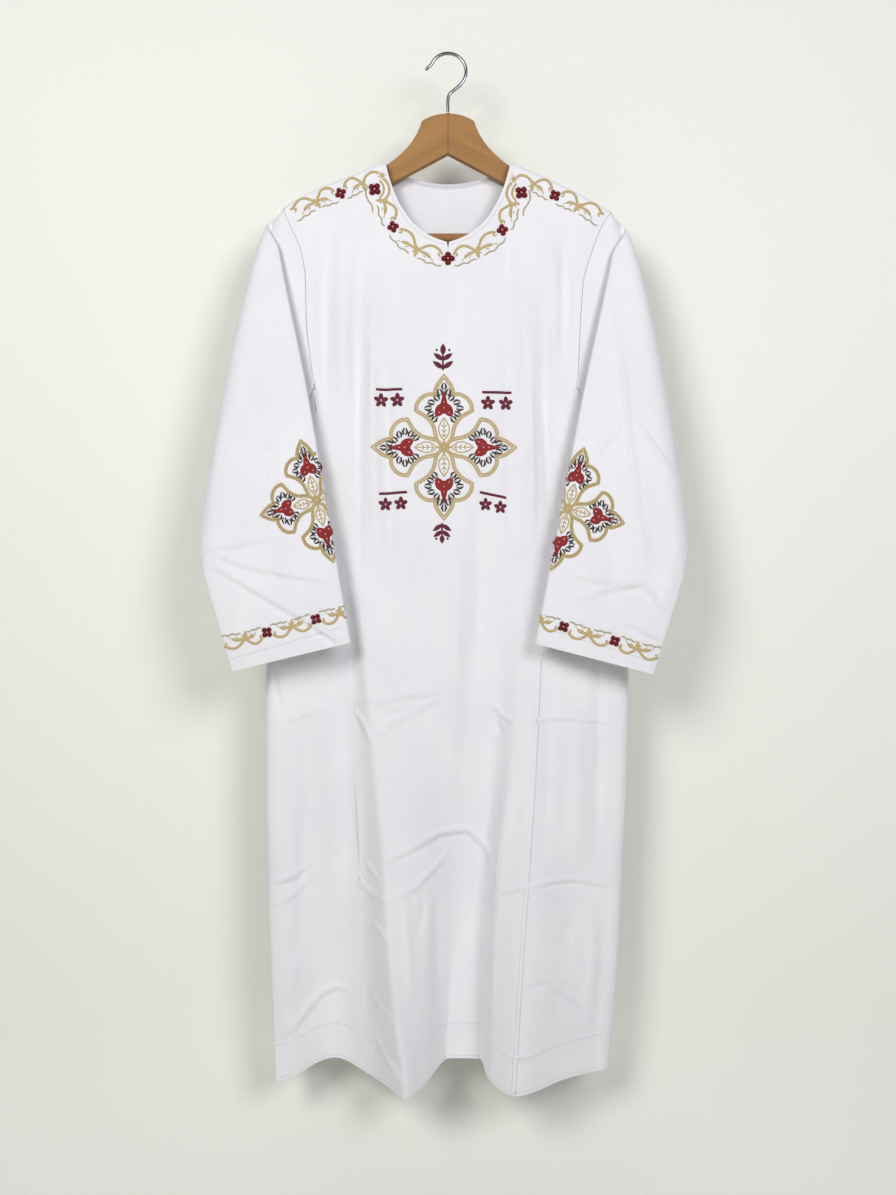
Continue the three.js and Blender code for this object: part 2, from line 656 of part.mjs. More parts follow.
// The hook's line: a flared end, a round loop over the rail, a bend and the straight stem.
const HOOK = { loopRadius: 23.5, flare: 157, stemBottom: -77.6 };
function hook(material) {
  const centreZ = WIRE_RADIUS - HOOK.loopRadius;
  const loop = Array.from({ length: 15 }, (_, k) => {
    const angle = radians(mix(HOOK.flare, -20, k / 14));
    return [HOOK.loopRadius * Math.cos(angle), centreZ + HOOK.loopRadius * Math.sin(angle)];
  });
  const bend = [[17, -38], [9, -45], [2, -51], [0, -58], [0, HOOK.stemBottom]];
  const points = [[-29.5, -19.5], ...loop, ...bend].map(([x, z]) => new THREE.Vector3(x, 0, z));
  const section = new THREE.Shape();
  section.absarc(0, 0, WIRE_RADIUS, 0, Math.PI * 2);
  const geometry = new THREE.ExtrudeGeometry(section, {
    steps: 46,
    extrudePath: new THREE.CatmullRomCurve3(points, false, "centripetal"),
    curveSegments: 5,
    bevelEnabled: false,
  });
  return piece("hook", geometry, material);
}

// ---- materials and the assembled garment ----------------------------------------------------------
const finish = (color, roughness, metalness) =>
  new THREE.MeshStandardMaterial({ color, roughness, metalness });
const cloth = finish(0xeeedf3, 0.85, 0);
const wood = finish(0xc89a63, 0.5, 0);
const steel = finish(0xc9cbcd, 0.2, 1);

const tunic = new THREE.Group();
tunic.add(
  frontPanel(cloth),
  backPanel(cloth),
  sidePanel("side_panel_left", -1, cloth),
  sidePanel("side_panel_right", 1, cloth),
  ...SLEEVE_SIDES.map((side) => sleeve(side, cloth)),
);
const hanger = new THREE.Group();
hanger.add(hangerArm("hanger_arm_left", -1, wood), hangerArm("hanger_arm_right", 1, wood));
hanger.add(trouserBar(wood), hook(steel));

const garment = new THREE.Group();
garment.add(tunic, hanger);

export default garment;
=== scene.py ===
"""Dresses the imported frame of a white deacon's tunic: cloth, embroidery, wood and steel.

Lengths in the tables are millimetres. X runs across the shoulders, +Z is up, and "forward" is a
distance towards the tunic's front, so that Y = -forward.
"""
import math

import bpy
import numpy as np
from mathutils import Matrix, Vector
from mathutils.bvhtree import BVHTree


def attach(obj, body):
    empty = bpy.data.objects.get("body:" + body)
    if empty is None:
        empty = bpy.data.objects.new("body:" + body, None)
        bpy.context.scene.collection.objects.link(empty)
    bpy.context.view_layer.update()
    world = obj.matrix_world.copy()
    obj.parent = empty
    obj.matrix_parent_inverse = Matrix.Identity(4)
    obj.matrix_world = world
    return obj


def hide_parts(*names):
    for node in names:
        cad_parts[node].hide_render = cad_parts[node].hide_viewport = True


bl_info = {
    "name": "Deacon Tunic",
    "version": (1, 0, 0),
    "blender": (4, 5, 0),
    "location": "View3D > Sidebar > Tunic",
    "description": "Cloth, embroidery, hanger and studio for a deacon's tunic",
    "category": "Object",
}

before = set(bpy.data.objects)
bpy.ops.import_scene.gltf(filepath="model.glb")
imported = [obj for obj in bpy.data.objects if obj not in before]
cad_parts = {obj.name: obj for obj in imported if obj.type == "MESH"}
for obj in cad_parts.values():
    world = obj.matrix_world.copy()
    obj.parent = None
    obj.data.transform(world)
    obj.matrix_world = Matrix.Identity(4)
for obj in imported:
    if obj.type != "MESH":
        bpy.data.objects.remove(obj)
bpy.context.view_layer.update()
MM = 0.001
BODY = "root"
SIDES = ((-1, "left"), (1, "right"))
LAYERS = ((False, "outer"), (True, "inner"))  # of a flat sleeve: seen from the front, or behind

# ---- the tunic's form ----
NECK_HALF_WIDTH = 81.5
NECK_TOP_Z = -143.0
FRONT_NECK_DROP = 108.0
BACK_NECK_DROP = 21.5
NECK_SLIT_DEPTH = 9.0
SHOULDER_SEAM_X = 212.0
CREST_RADIUS = 9.0
SIDE_TURN = 18.0
ARMPIT_Z = -440.0
BACK_HEM_Z = -1312.0
SEAM_GAP = 0.4
SEAM_LAP = 2.1
LAP_FADE = 29.0

SHOULDERS = {
    "x": [81.5, 128, 175, 206, 226],
    "left": [-142.5, -160.5, -178.5, -195, -210],
    "right": [-143.5, -162.5, -185, -202, -216],
}
FRONT_SEAMS = {
    "z": [-209, -222, -264, -300, -350, -396, -457, -607, -763, -920, -1050, -1181, -1330],
    "left": [-212, -206, -189, -184, -183, -178, -169, -143, -125, -120, -113, -108, -99],
    "right": [212, 202, 185, 175, 171, 169, 166, 147, 119, 110, 101, 91, 81],
}
BACK_SEAMS = {
    "z": [-209, -222, -264, -350, -457, -763, -1330],
    "half": [212, 204, 187, 180, 170, 138, 122],
}
BACK_DEPTHS = {"z": [-200, -350, -600, -900, -1320], "back": [12, 13, 18, 24, 34]}
BACK_WAVES = {
    "count": 4, "width": 470, "depth": 9,
    "from": -200, "full_from": -500, "grow_from": 150, "grow": 1000,
}

LEVELS = [-267, -457, -607, -763, -920, -1050, -1181, -1320]
# Each fold line of the front: its x and its forward distance at each level; sharp if pressed in.
FOLDS = {
    "left_edge": ([-196, -190, -215, -235, -237, -234, -229, -221], [3, 3, 4, 6, 8, 11, 15, 20]),
    "left_turn": ([-192, -178, -195, -214, -216, -213, -208, -198],
                  [13, 16, 17, 20, 22, 23, 22, 19]),
    "left_valley": ([-189, -173, -160, -154, -154, -153, -151, -149],
                    [14, 19, 20, 17, 14, 7, -2, -12]),
    "left_seam": ([-186, -169, -143, -125, -120, -113, -108, -99],
                  [14, 19, 20, 18, 17, 15, 14, 14]),
    "left_crease": ([-165, -150, -126, -109, -93, -80, -71, -52], [15, 20, 23, 30, 38, 48, 58, 72]),
    "left_face": ([-90, -85, -72, -58, -44, -37, -32, -26], [18, 24, 26, 28, 31, 35, 38, 40]),
    "valley_left": ([10, 15, 24, 20, 18, 16, 10, 5], [22, 27, 28, 24, 17, 8, -1, -8]),
    "valley_right": ([50, 55, 62, 62, 57, 48, 41, 40], [20, 24, 25, 20, 12, 4, -5, -12]),
    "right_crease": ([100, 104, 98, 93, 80, 63, 53, 49], [18, 23, 25, 30, 34, 36, 38, 40]),
    "right_seam": ([184, 166, 147, 119, 110, 101, 91, 81], [14, 19, 22, 31, 40, 48, 58, 68]),
    "right_gore": ([187, 172, 168, 166, 163, 160, 155, 142], [14, 18, 20, 24, 27, 29, 32, 38]),
    "right_turn": ([190, 178, 194, 214, 212, 206, 200, 187], [13, 15, 16, 18, 18, 18, 19, 20]),
    "right_edge": ([194, 191, 213, 235, 233, 227, 221, 208], [3, 3, 4, 5, 5, 5, 6, 8]),
}
SHARP_FOLDS = ("left_crease", "right_crease")
FRONT_HEM = {
    "x": [-221, -149, -99, -52, 5, 44, 49, 90, 158, 208],
    "z": [-1331, -1313, -1326, -1331, -1309, -1310, -1318, -1328, -1320, -1316],
}
FOLD_SOFTNESS = 5.0  # how far each side of a pressed fold the form is averaged
# Soft troughs that fan down from the shoulders.
DRAPE_FADE = 0.7
DRAPES = [
    {"top": (-150, -215), "bottom": (-161, -470), "width": 9, "depth": 4},
    {"top": (-102, -200), "bottom": (-118, -520), "width": 10, "depth": 5},
    {"top": (98, -215), "bottom": (122, -560), "width": 10, "depth": 5},
    {"top": (146, -225), "bottom": (148, -450), "width": 9, "depth": 4},
]
SLEEVE = {
    "fold_angle": 9.7,
    "roll": 17.0, "roll_top": 6.0,
    "half_depth": 8.0, "half_depth_top": 3.0,
    "growth": 90.0,
    "armpit_over": -72.8,
    "top_along": 527.0, "top_over": 195.0,
    "under_along": 588.0, "under_over": 107.0,
    "lean": 24.0,
}
SLEEVE_SIDES = {
    -1: {"swing": 0.0, "top": (225, -212)},
    1: {"swing": 0.9, "top": (221, -215)},
}


def mix(a, b, t):
    return a + (b - a) * t


def smooth(t):
    t = np.clip(t, 0, 1)
    return t * t * (3 - 2 * t)


def reach_along(path):
    """How far along a path of (x, z) each of its points lies."""
    return np.concatenate([[0], np.cumsum(np.hypot(*np.diff(path, axis=0).T))])


def monotone(xs, ys, x):
    """A monotone cubic through the knots xs, ys, which may differ from point to point of x."""
    x = np.asarray(x, float)
    shape = (len(xs),) + x.shape
    spread = lambda k: np.broadcast_to(
        np.reshape(k, (len(xs),) + (1,) * x.ndim) if np.ndim(k) == 1 else k, shape
    ).astype(float)
    xs, ys = spread(xs), spread(ys)
    step = np.diff(xs, axis=0)
    secant = np.diff(ys, axis=0) / step
    product = secant[:-1] * secant[1:]
    total = secant[:-1] + secant[1:]
    inner = np.where(product > 0, 2 * product / np.where(product > 0, total, 1), 0)
    slope = np.concatenate([secant[:1], inner, secant[-1:]])
    x = np.clip(x, xs[0], xs[-1])
    index = (x > xs[1:-1]).sum(axis=0)[None]
    take = lambda a, by=0: np.take_along_axis(a, index + by, 0)[0]
    span = take(step)
    t = (x - take(xs)) / span
    base = take(ys) * (1 + 2 * t) * (1 - t) ** 2 + take(ys, 1) * t * t * (3 - 2 * t)
    return base + t * (1 - t) * span * ((1 - t) * take(slope) - t * take(slope, 1))


def down(table, key, z):
    return monotone([-v for v in table["z"]], table[key], -np.asarray(z, float))


def seam_x(side, z):
    return down(FRONT_SEAMS, "left" if side < 0 else "right", z)


def back_half(z):
    return down(BACK_SEAMS, "half", z)


def panel_seam(side, z, layer):
    """x of the seam between the front (layer 1) or the back (layer -1) and the side panel."""
    return seam_x(side, z) if layer > 0 else side * back_half(z)


def fold_line(name, z):
    levels = [-v for v in LEVELS]
    return tuple(monotone(levels, values, -np.asarray(z, float)) for values in FOLDS[name])


def side_edge(x, z):
    """x and forward distance of the side edge on the side where x is."""
    left, right = fold_line("left_edge", z), fold_line("right_edge", z)
    return np.where(x < 0, left[0], right[0]), np.where(x < 0, left[1], right[1])


def shoulder_z(x):
    x = np.asarray(x, float)
    xs = SHOULDERS["x"]
    out = []
    for key in ("left", "right"):
        zs = SHOULDERS[key]
        slope = (zs[1] - zs[0]) / (xs[1] - xs[0])
        inside = np.minimum(0, np.abs(x) - xs[0])
        out.append(monotone(xs, zs, np.abs(x)) + slope * inside)
    return np.where(x < 0, *out)


def crest(x, z):
    """0 on the shoulder line and 1 from a little below it, so that the top is rounded."""
    below = np.clip((shoulder_z(x) - z) / CREST_RADIUS, 0, 1)
    return np.sqrt(1 - (1 - below) ** 2)


def drapes(x, z):
    """The soft troughs of the front, which widen downwards and fade out at both ends."""
    total = np.zeros(np.shape(x))
    for drape in DRAPES:
        (top_x, top_z), (bottom_x, bottom_z) = drape["top"], drape["bottom"]
        t = (top_z - z) / (top_z - bottom_z)
        along = np.clip(t, 0, 1)
        fade = np.sin(np.pi * along) ** DRAPE_FADE
        off = (x - mix(top_x, bottom_x, t)) / (drape["width"] * (1 + along))
        total -= drape["depth"] * fade * np.exp(-off * off)
    return total


def turn_in(x, z, forward):
    """Below the armpit the front and the back meet in a rounded side edge."""
    edge, edge_forward = side_edge(x, z)
    inside = np.clip((np.abs(edge) - np.abs(x)) / SIDE_TURN, 0, 1)
    rounded = mix(edge_forward, forward, np.sqrt(1 - (1 - inside) ** 2))
    return np.where(z <= ARMPIT_Z, rounded, forward) * crest(x, z)


def front_form(x, z):
    """The front's large folds: smooth between their fold lines, and sharp at the pressed ones."""
    lines = list(FOLDS)[1:-1]
    xs, ys = (np.stack(a) for a in zip(*(fold_line(name, z) for name in lines)))
    cuts = [0] + [lines.index(name) for name in SHARP_FOLDS] + [len(lines) - 1]
    forward = None
    for a, b in zip(cuts, cuts[1:]):
        stretch = monotone(xs[a : b + 1], ys[a : b + 1], x)
        forward = stretch if forward is None else np.where(x > xs[a], stretch, forward)
    return forward


def front_forward(x, z, creases=True):
    """How far forward the front cloth hangs, at any place of its front view."""
    x, z = np.broadcast_arrays(np.asarray(x, float), np.asarray(z, float))
    weights = ((-FOLD_SOFTNESS, 0.25), (0, 0.5), (FOLD_SOFTNESS, 0.25))
    forward = sum(weight * front_form(x + by, z) for by, weight in weights) + drapes(x, z)
    if creases:
        forward = forward + wrinkles(FRONT_CREASES, x, z)
    return turn_in(x, z, forward)


def back_forward(x, z, creases=True):
    x, z = np.broadcast_arrays(np.asarray(x, float), np.asarray(z, float))
    waves = BACK_WAVES
    wave = np.cos(np.pi * 2 * waves["count"] * x / waves["width"])
    begin = smooth((waves["from"] - z) / (waves["from"] - waves["full_from"]))
    share = begin * smooth((-z - waves["grow_from"]) / waves["grow"])
    forward = -down(BACK_DEPTHS, "back", z) - waves["depth"] * share * wave
    if creases:
        forward = forward - wrinkles(BACK_CREASES, x, z)
    return turn_in(x, z, forward)


def hem_z(x):
    return monotone(FRONT_HEM["x"], FRONT_HEM["z"], x)


def bezier(a, b, c, d, t):
    return a * (1 - t) ** 3 + 3 * b * t * (1 - t) ** 2 + 3 * c * t * t * (1 - t) + d * t**3


def front_neck(t):
    """The neckline's front half: t is 0 at the shoulder and 1 at the centre."""
    return (
        bezier(NECK_HALF_WIDTH, 73, 52, 0, t),
        NECK_TOP_Z - FRONT_NECK_DROP * bezier(0, 0.41, 0.9, 1, t),
    )


def back_neck(t):
    return (
        bezier(NECK_HALF_WIDTH, 62, 33, 0, t),
        NECK_TOP_Z - BACK_NECK_DROP * bezier(0, 0.45, 0.98, 1, t),
    )


# ---- creases: soft troughs and ridges, drawn on a grid in front view ----
GRID_STEP = 1.305  # where forward is 0; a step is less where the cloth hangs nearer to the eye
MIDDLE_COLUMN, MIDDLE_ROW = 448, 597.5  # counted from the left and from the top
MIDDLE_Z = -708
EYE_DISTANCE = 1400
BROAD_FROM = 6  # creases from this width on may be drawn in and raised
BROAD_WIDTH, BROAD_HEIGHT = 0.78, 1.3


def drawn(gain, rows, narrow_broad=False):
    """The rows in millimetres, to the whole one, as (points, width, height, tilt).

    Each row has its points (column, row), its width, its height towards the viewer (less than 0
    for a trough), its tilt, by which one of its sides stands higher than the other, and how far
    forward its cloth hangs. The gain raises all the heights and tilts.
    """
    creases = []
    for points, width, height, tilt, forward in rows:
        step = GRID_STEP * (EYE_DISTANCE - forward) / EYE_DISTANCE
        path = [
            (round((column - MIDDLE_COLUMN) * step), round(MIDDLE_Z + (MIDDLE_ROW - row) * step))
            for column, row in points
        ]
        height, tilt = round(height * gain, 1), round(tilt * gain, 1)
        if narrow_broad and width >= BROAD_FROM:
            width, height = round(width * BROAD_WIDTH, 1), round(height * BROAD_HEIGHT, 1)
        creases.append((path, width, height, tilt))
    return creases


FRONT_CREASES = drawn(1.5, narrow_broad=True, rows=[
    ([(357, 235), (357, 330), (358, 470), (360, 600)], 8, -3.2, 0, 22),
    ([(369, 250), (372, 400), (377, 570)], 8, 2.4, 0, 22),
    ([(386, 330), (388, 470), (392, 600)], 9, -2.2, 0, 24),
    ([(327, 225), (322, 300), (326, 400)], 8, -3, 0, 20),
    ([(341, 225), (340, 300), (345, 420)], 7, 2, 0, 20),
    ([(540, 225), (546, 300), (546, 400), (548, 520)], 8, -3.2, 0, 20),
    ([(527, 240), (531, 360), (533, 560)], 8, 2.4, 0, 22),
    ([(565, 240), (566, 300), (560, 360)], 7, -2.6, 0, 18),
    ([(555, 235), (558, 300), (556, 370)], 6, 1.8, 0, 18),
    ([(505, 300), (508, 430), (514, 600)], 10, -1.8, 0, 22),
    ([(455, 520), (457, 600), (455, 700), (452, 800)], 11, 2.6, 0, 27),
    ([(478, 500), (480, 600), (474, 700)], 13, -3, 0, 27),
    ([(415, 540), (420, 640)], 10, -1.6, 0, 26),
    ([(371, 706), (405, 697), (441, 693)], 3.4, 1.7, 1.2, 30),
    ([(371, 742), (392, 722), (418, 707), (441, 697)], 3.6, 2.2, -1.4, 30),
    ([(380, 716), (402, 713), (420, 706)], 3, -1.5, 0, 30),
    ([(352, 712), (361, 722), (371, 744)], 3.6, 2, 1.4, 28),
    ([(352, 700), (372, 699), (390, 702)], 3.2, 1.2, 0, 28),
    ([(383, 862), (410, 850), (440, 836), (468, 835), (486, 853), (497, 888)], 4, 2.2, 2.2, 34),
    ([(391, 898), (415, 884), (436, 866), (450, 850)], 3.6, 2, -1.4, 34),
    ([(363, 864), (370, 872), (379, 881)], 3, 2.4, 1.6, 36),
    ([(356, 884), (370, 893), (391, 899)], 3.2, 1.8, -1.2, 36),
    ([(371, 925), (380, 932), (390, 942)], 3.2, 2.2, 1.4, 40),
    ([(420, 890), (424, 910), (417, 935)], 5, -1.8, 0, 36),
    ([(404, 880), (408, 940), (412, 1000)], 7, 1.8, 0, 40),
    ([(436, 900), (436, 960), (440, 1020)], 8, -1.8, 0, 38),
    ([(368, 1003), (380, 1012), (393, 1020)], 3.2, 1.6, 1.2, 50),
    ([(408, 1045), (398, 1062), (404, 1078)], 5, -2, 0, 55),
    ([(446, 1010), (458, 1025), (462, 1038)], 3.4, 1.2, 1, 20),
    ([(492, 704), (501, 716), (516, 725)], 3.2, 1.8, 1.4, 28),
    ([(497, 722), (500, 732), (505, 735)], 3, -1.6, 0, 28),
    ([(516, 722), (537, 720), (560, 718), (592, 721), (618, 725)], 3, 1.3, 1.4, 22),
    ([(495, 893), (510, 890), (524, 884)], 3.2, 1.4, 1.2, 36),
    ([(524, 885), (548, 880), (575, 880), (598, 886), (618, 890)], 3.6, 1.8, 2, 28),
    ([(497, 1053), (512, 1055), (540, 1054)], 3.2, 1.4, 1, 50),
    ([(520, 985), (545, 982), (566, 995), (586, 1013), (602, 1028)], 3.4, -2, -1.6, 32),
    ([(577, 908), (569, 930), (564, 962)], 4, -1.4, 0.8, 28),
    ([(560, 985), (555, 1010)], 4, -1.2, 0, 30),
    ([(575, 700), (578, 790), (574, 870)], 13, 2.2, 0, 24),
    ([(598, 640), (600, 760), (596, 860)], 8, -2, 0, 22),
    ([(548, 660), (546, 780), (542, 870)], 9, -2, 0, 26),
    ([(590, 900), (594, 960), (588, 1030)], 8, 1.8, 0, 26),
    ([(273, 668), (279, 700), (286, 722)], 4, -2, 1.2, 24),
    ([(286, 722), (305, 716), (325, 707)], 4, 1.2, 0.8, 24),
    ([(270, 884), (290, 880), (308, 868)], 3.6, 1.8, 1.8, 26),
    ([(272, 905), (292, 895), (313, 873)], 3.6, 1.6, -1.4, 26),
    ([(326, 680), (328, 780), (330, 880), (334, 960)], 12, 2.6, 0, 24),
    ([(303, 690), (306, 790), (300, 900), (298, 980)], 9, -2.4, 0, 24),
    ([(346, 700), (350, 800), (350, 900)], 8, -2.2, 0, 24),
    ([(281, 1045), (300, 1025), (318, 1005), (334, 997), (348, 1002)], 4, 2.25, 2, 34),
    ([(375, 1040.5), (384, 1056), (396, 1070)], 4, 2, 1.6, 34),
    ([(341, 1025), (346, 1040), (352, 1058)], 4, -1.6, 0, 30),
    ([(300, 950), (290, 985), (284, 1010)], 6, 1.6, 0, 26),
])
BACK_CREASES = drawn(1.3, rows=[
    ([(330, 240), (322, 330), (318, 430)], 9, 3, 0, 0),
    ([(565, 235), (574, 320), (578, 440)], 9, 3, 0, 0),
    ([(400, 230), (392, 330), (396, 480)], 10, -2.4, 0, 0),
    ([(500, 230), (508, 350), (502, 500)], 10, -2.4, 0, 0),
    ([(330, 560), (380, 585), (430, 578), (470, 560)], 5, 2.2, 1.8, 0),
    ([(420, 620), (480, 640), (545, 622)], 5, 2, -1.6, 0),
    ([(350, 700), (350, 850), (342, 1010)], 12, 2.6, 0, 0),
    ([(540, 690), (548, 850), (560, 1010)], 12, 2.6, 0, 0),
    ([(300, 760), (350, 742), (410, 752)], 4.5, 1.8, 1.8, 0),
    ([(470, 800), (520, 786), (580, 800)], 4.5, 1.8, -1.8, 0),
    ([(330, 900), (390, 878), (452, 884), (500, 910)], 5, 2.2, 2, 0),
    ([(300, 1010), (350, 985), (400, 1000), (430, 1030)], 5, 2, 1.8, 0),
    ([(500, 1000), (550, 985), (600, 1010)], 5, 2, -1.8, 0),
    ([(440, 930), (446, 1000), (440, 1060)], 9, -2, 0, 0),
])
LEFT_SLEEVE_CREASES = drawn(1.7, rows=[
    ([(203, 552), (240, 546), (285, 537)], 4, 1, 1, 50),
    ([(210, 553), (250, 568), (290, 576), (336, 584)], 4, 1.6, 1.6, 52),
    ([(212, 566), (250, 588), (296, 614), (343, 642)], 4.4, 1.8, 2, 54),
    ([(262, 420), (268, 500), (280, 560)], 10, -1.8, 0, 48),
    ([(250, 590), (246, 610), (240, 632)], 7, -1.4, 0, 54),
    ([(232, 330), (225, 430), (218, 520)], 9, -1.6, 0, 46),
    ([(262, 560), (278, 575), (284, 596)], 5, -1.2, 0, 52),
    ([(316, 628), (330, 636), (342, 646)], 4, 1.4, 1.2, 56),
    ([(240, 440), (262, 448), (285, 446)], 4, 0.9, 0.8, 50),
])
RIGHT_SLEEVE_CREASES = drawn(1.7, rows=[
    ([(613, 270), (620, 340), (626, 420), (634, 500), (640, 583)], 4, 1.4, 1.4, 50),
    ([(564, 571), (600, 578), (640, 585)], 4, 1.6, -1.6, 54),
    ([(574, 602), (602, 592), (640, 584), (652, 598), (662, 616)], 4, 1.6, 1.6, 54),
    ([(590, 468), (608, 440), (633, 418)], 4, 1.4, 1.4, 50),
    ([(633, 418), (650, 440), (668, 466), (684, 492)], 4.4, 1.2, -1.2, 48),
    ([(602, 500), (612, 560), (606, 620)], 9, -1.6, 0, 54),
    ([(676, 540), (668, 580), (660, 612)], 8, 1.6, 0, 52),
    ([(622, 620), (640, 630), (664, 642)], 4, 1.2, 1, 56),
    ([(650, 520), (655, 560), (645, 582)], 8, -1.4, 0, 52),
])


CREASE_REACH = 3  # in widths, to each side
CREASE_FADE = 0.6
TILT_SCALE = 1.7


def wrinkles(table, x, z):
    """The sum of the creases' heights: full in the middle of each, faded out at its ends."""
    x, z = np.broadcast_arrays(np.asarray(x, float), np.asarray(z, float))
    total = np.zeros(x.shape)
    for points, width, height, tilt in table:
        points = np.array(points, float)
        low, high = points.min(0) - CREASE_REACH * width, points.max(0) + CREASE_REACH * width
        near = (x > low[0]) & (x < high[0]) & (z > low[1]) & (z < high[1])
        if not near.any():
            continue
        px, pz = x[near], z[near]
        reach = reach_along(points)
        best, place, across = np.full(px.shape, 1e9), np.zeros(px.shape), np.zeros(px.shape)
        for i, length in enumerate(np.hypot(*np.diff(points, axis=0).T)):
            (ax, az), (bx, bz) = points[i], points[i + 1]
            t = np.clip(((px - ax) * (bx - ax) + (pz - az) * (bz - az)) / length**2, 0, 1)
            gap = np.hypot(px - mix(ax, bx, t), pz - mix(az, bz, t))
            nearer = gap < best
            best = np.where(nearer, gap, best)
            place = np.where(nearer, (reach[i] + t * length) / reach[-1], place)
            beyond = (bx - ax) * (pz - az) - (bz - az) * (px - ax)
            across = np.where(nearer, np.sign(beyond), across)
        fade = np.sin(np.pi * place) ** CREASE_FADE
        off = best / width
        total[near] += fade * (height + tilt * TILT_SCALE * across * off) * np.exp(-(off**2))
    return total


# ---- sleeves ----
ARMHOLE_STEPS, UNDERARM_STEPS = 120, 24
RIM_POWER = 2.6  # how squarely a sleeve's layers meet at its edges
FLAT_REACH = 12.0  # to each side of the fold line the armhole's depth gives way to the sleeve's own
FLAT_END, BEND_END = 0.22, 0.5  # shares of the sleeve, by which its armhole's shape has faded
TURN_LENGTH = 60
LEAN_FROM, LEAN_OVER = 60, 480
CREASED_FROM = 0.8  # share of the half turn, from which the folded layer is creased


def armhole(side, layer, shares):
    """The armhole's points (x, z, forward) at shares of its length from shoulder to underarm."""
    surface = front_forward if layer > 0 else back_forward
    top = float(shoulder_z(side * SHOULDER_SEAM_X))
    z = mix(top, ARMPIT_Z, np.linspace(0, 1, ARMHOLE_STEPS) ** 1.6)
    x = panel_seam(side, z, layer) + side * SEAM_GAP
    lap = layer * SEAM_LAP * smooth((ARMPIT_Z + LAP_FADE - z) / LAP_FADE)
    edge = float(side_edge(side * 1.0, ARMPIT_Z)[0])
    t = np.linspace(0, 1, UNDERARM_STEPS)[1:] ** 0.5
    under_x = mix(float(panel_seam(side, ARMPIT_Z, layer)), edge + side * SEAM_LAP, t)
    under_z = np.full(t.shape, ARMPIT_Z)
    inside = side * np.minimum(side * under_x, side * edge - 0.01)
    under = surface(inside, under_z, False) + layer * SEAM_LAP
    ring_x, ring_z = np.concatenate([x, under_x]), np.concatenate([z, under_z + SEAM_GAP])
    ring_forward = np.concatenate([surface(x, z, False) + lap, under])
    reach = reach_along(np.stack([ring_x, ring_z], 1))
    reach /= reach[-1]
    return tuple(np.interp(shares, reach, a) for a in (ring_x, ring_z, ring_forward))


def sleeve_axes(side):
    """The sleeve's top point, the direction along its fold line and the one across it."""
    angle = math.radians(SLEEVE["fold_angle"] - SLEEVE_SIDES[side]["swing"])
    top_x, top_z = SLEEVE_SIDES[side]["top"]
    along = (side * math.sin(angle), -math.cos(angle))
    out = (side * math.cos(angle), math.sin(angle))
    return (side * top_x, top_z), along, out


def grown(along):
    """How far the sleeve has opened from the armhole's flat top, from 0 to 1."""
    return 1 - np.exp(-np.maximum(0, along) / SLEEVE["growth"])


def roll_at(along):
    """The radius of the rolled fold, which widens down the sleeve."""
    return mix(SLEEVE["roll_top"], SLEEVE["roll"], grown(along))


def sleeve_reach(k):
    """On row k of the sleeve, how far beyond the fold line its top and its underarm lie."""
    reach = SLEEVE["top_along"] * k
    turn = np.pi * roll_at(reach) * smooth(reach / TURN_LENGTH)
    return SLEEVE["top_over"] * k + turn, mix(SLEEVE["armpit_over"], SLEEVE["under_over"], k)


def fold_sleeve(side, along, over, offset):
    """Folds a point of the flat sleeve forward over its fold line and returns x, forward, z."""
    top, axis, out = sleeve_axes(side)
    roll = roll_at(along)
    turn = np.minimum(np.pi, np.maximum(0, over) / roll)
    radius = roll - offset
    beyond = np.maximum(0, over - np.pi * roll)
    outwards = np.where(over <= 0, over, radius * np.sin(turn) - beyond)
    lean = SLEEVE["lean"] * smooth((along - LEAN_FROM) / LEAN_OVER) * turn / np.pi
    x = top[0] + along * axis[0] + outwards * out[0]
    z = top[1] + along * axis[1] + outwards * out[1]
    return x, roll - radius * np.cos(turn) + lean, z


def sleeve_offset(along, share, layer):
    """How far a layer of the flattened sleeve stands off its middle."""
    own = mix(SLEEVE["half_depth_top"], SLEEVE["half_depth"], grown(along))
    rim = np.maximum(0, 1 - np.abs(2 * share - 1) ** RIM_POWER) ** (1 / RIM_POWER)
    return layer * own * rim


def sleeve_points(side, k, share, layer):
    """The sleeve's surface on row k (0 armhole, 1 cuff), at a share of its width, on one layer."""
    (top_x, top_z), axis, out = sleeve_axes(side)
    layers = zip(armhole(side, 1, share), armhole(side, -1, share))
    hole_x, hole_z, hole_forward = (np.where(layer > 0, front, back) for front, back in layers)
    hole_forward = np.where(share <= 0, 0, hole_forward)
    dx, dz = hole_x - top_x, hole_z - top_z
    hole_along = dx * axis[0] + dz * axis[1]
    hole_over = dx * out[0] + dz * out[1]
    over_top, over_under = sleeve_reach(k)
    along = mix(hole_along, mix(SLEEVE["top_along"], SLEEVE["under_along"], share), k)
    bend = hole_over - mix(0, SLEEVE["armpit_over"], share)
    over = mix(over_top, over_under, share) + bend * (1 - smooth(k / BEND_END))
    at_fold = smooth((over + FLAT_REACH) / (2 * FLAT_REACH))
    flat = np.maximum(smooth(k / FLAT_END), np.where(k > 0, at_fold, 0))
    offset = mix(hole_forward, sleeve_offset(along, share, layer), flat)
    x, forward, z = fold_sleeve(side, along, over, offset)
    edge = side_edge(side * np.ones(z.shape), z)[0]
    inside = side * np.minimum(side * x, side * edge)
    skin_front = front_forward(inside, z, False) + SEAM_LAP
    skin_back = back_forward(inside, z, False) - SEAM_LAP
    near = (over < 0) & (z < ARMPIT_Z + 1) & (np.abs(x) - np.abs(edge) < SEAM_LAP)
    kept = np.where(layer > 0, np.maximum(forward, skin_front), np.minimum(forward, skin_back))
    forward = np.where(near, kept, forward)
    turn = over / roll_at(along)
    return x, -forward - sleeve_creases(side, x, z, turn, layer), z


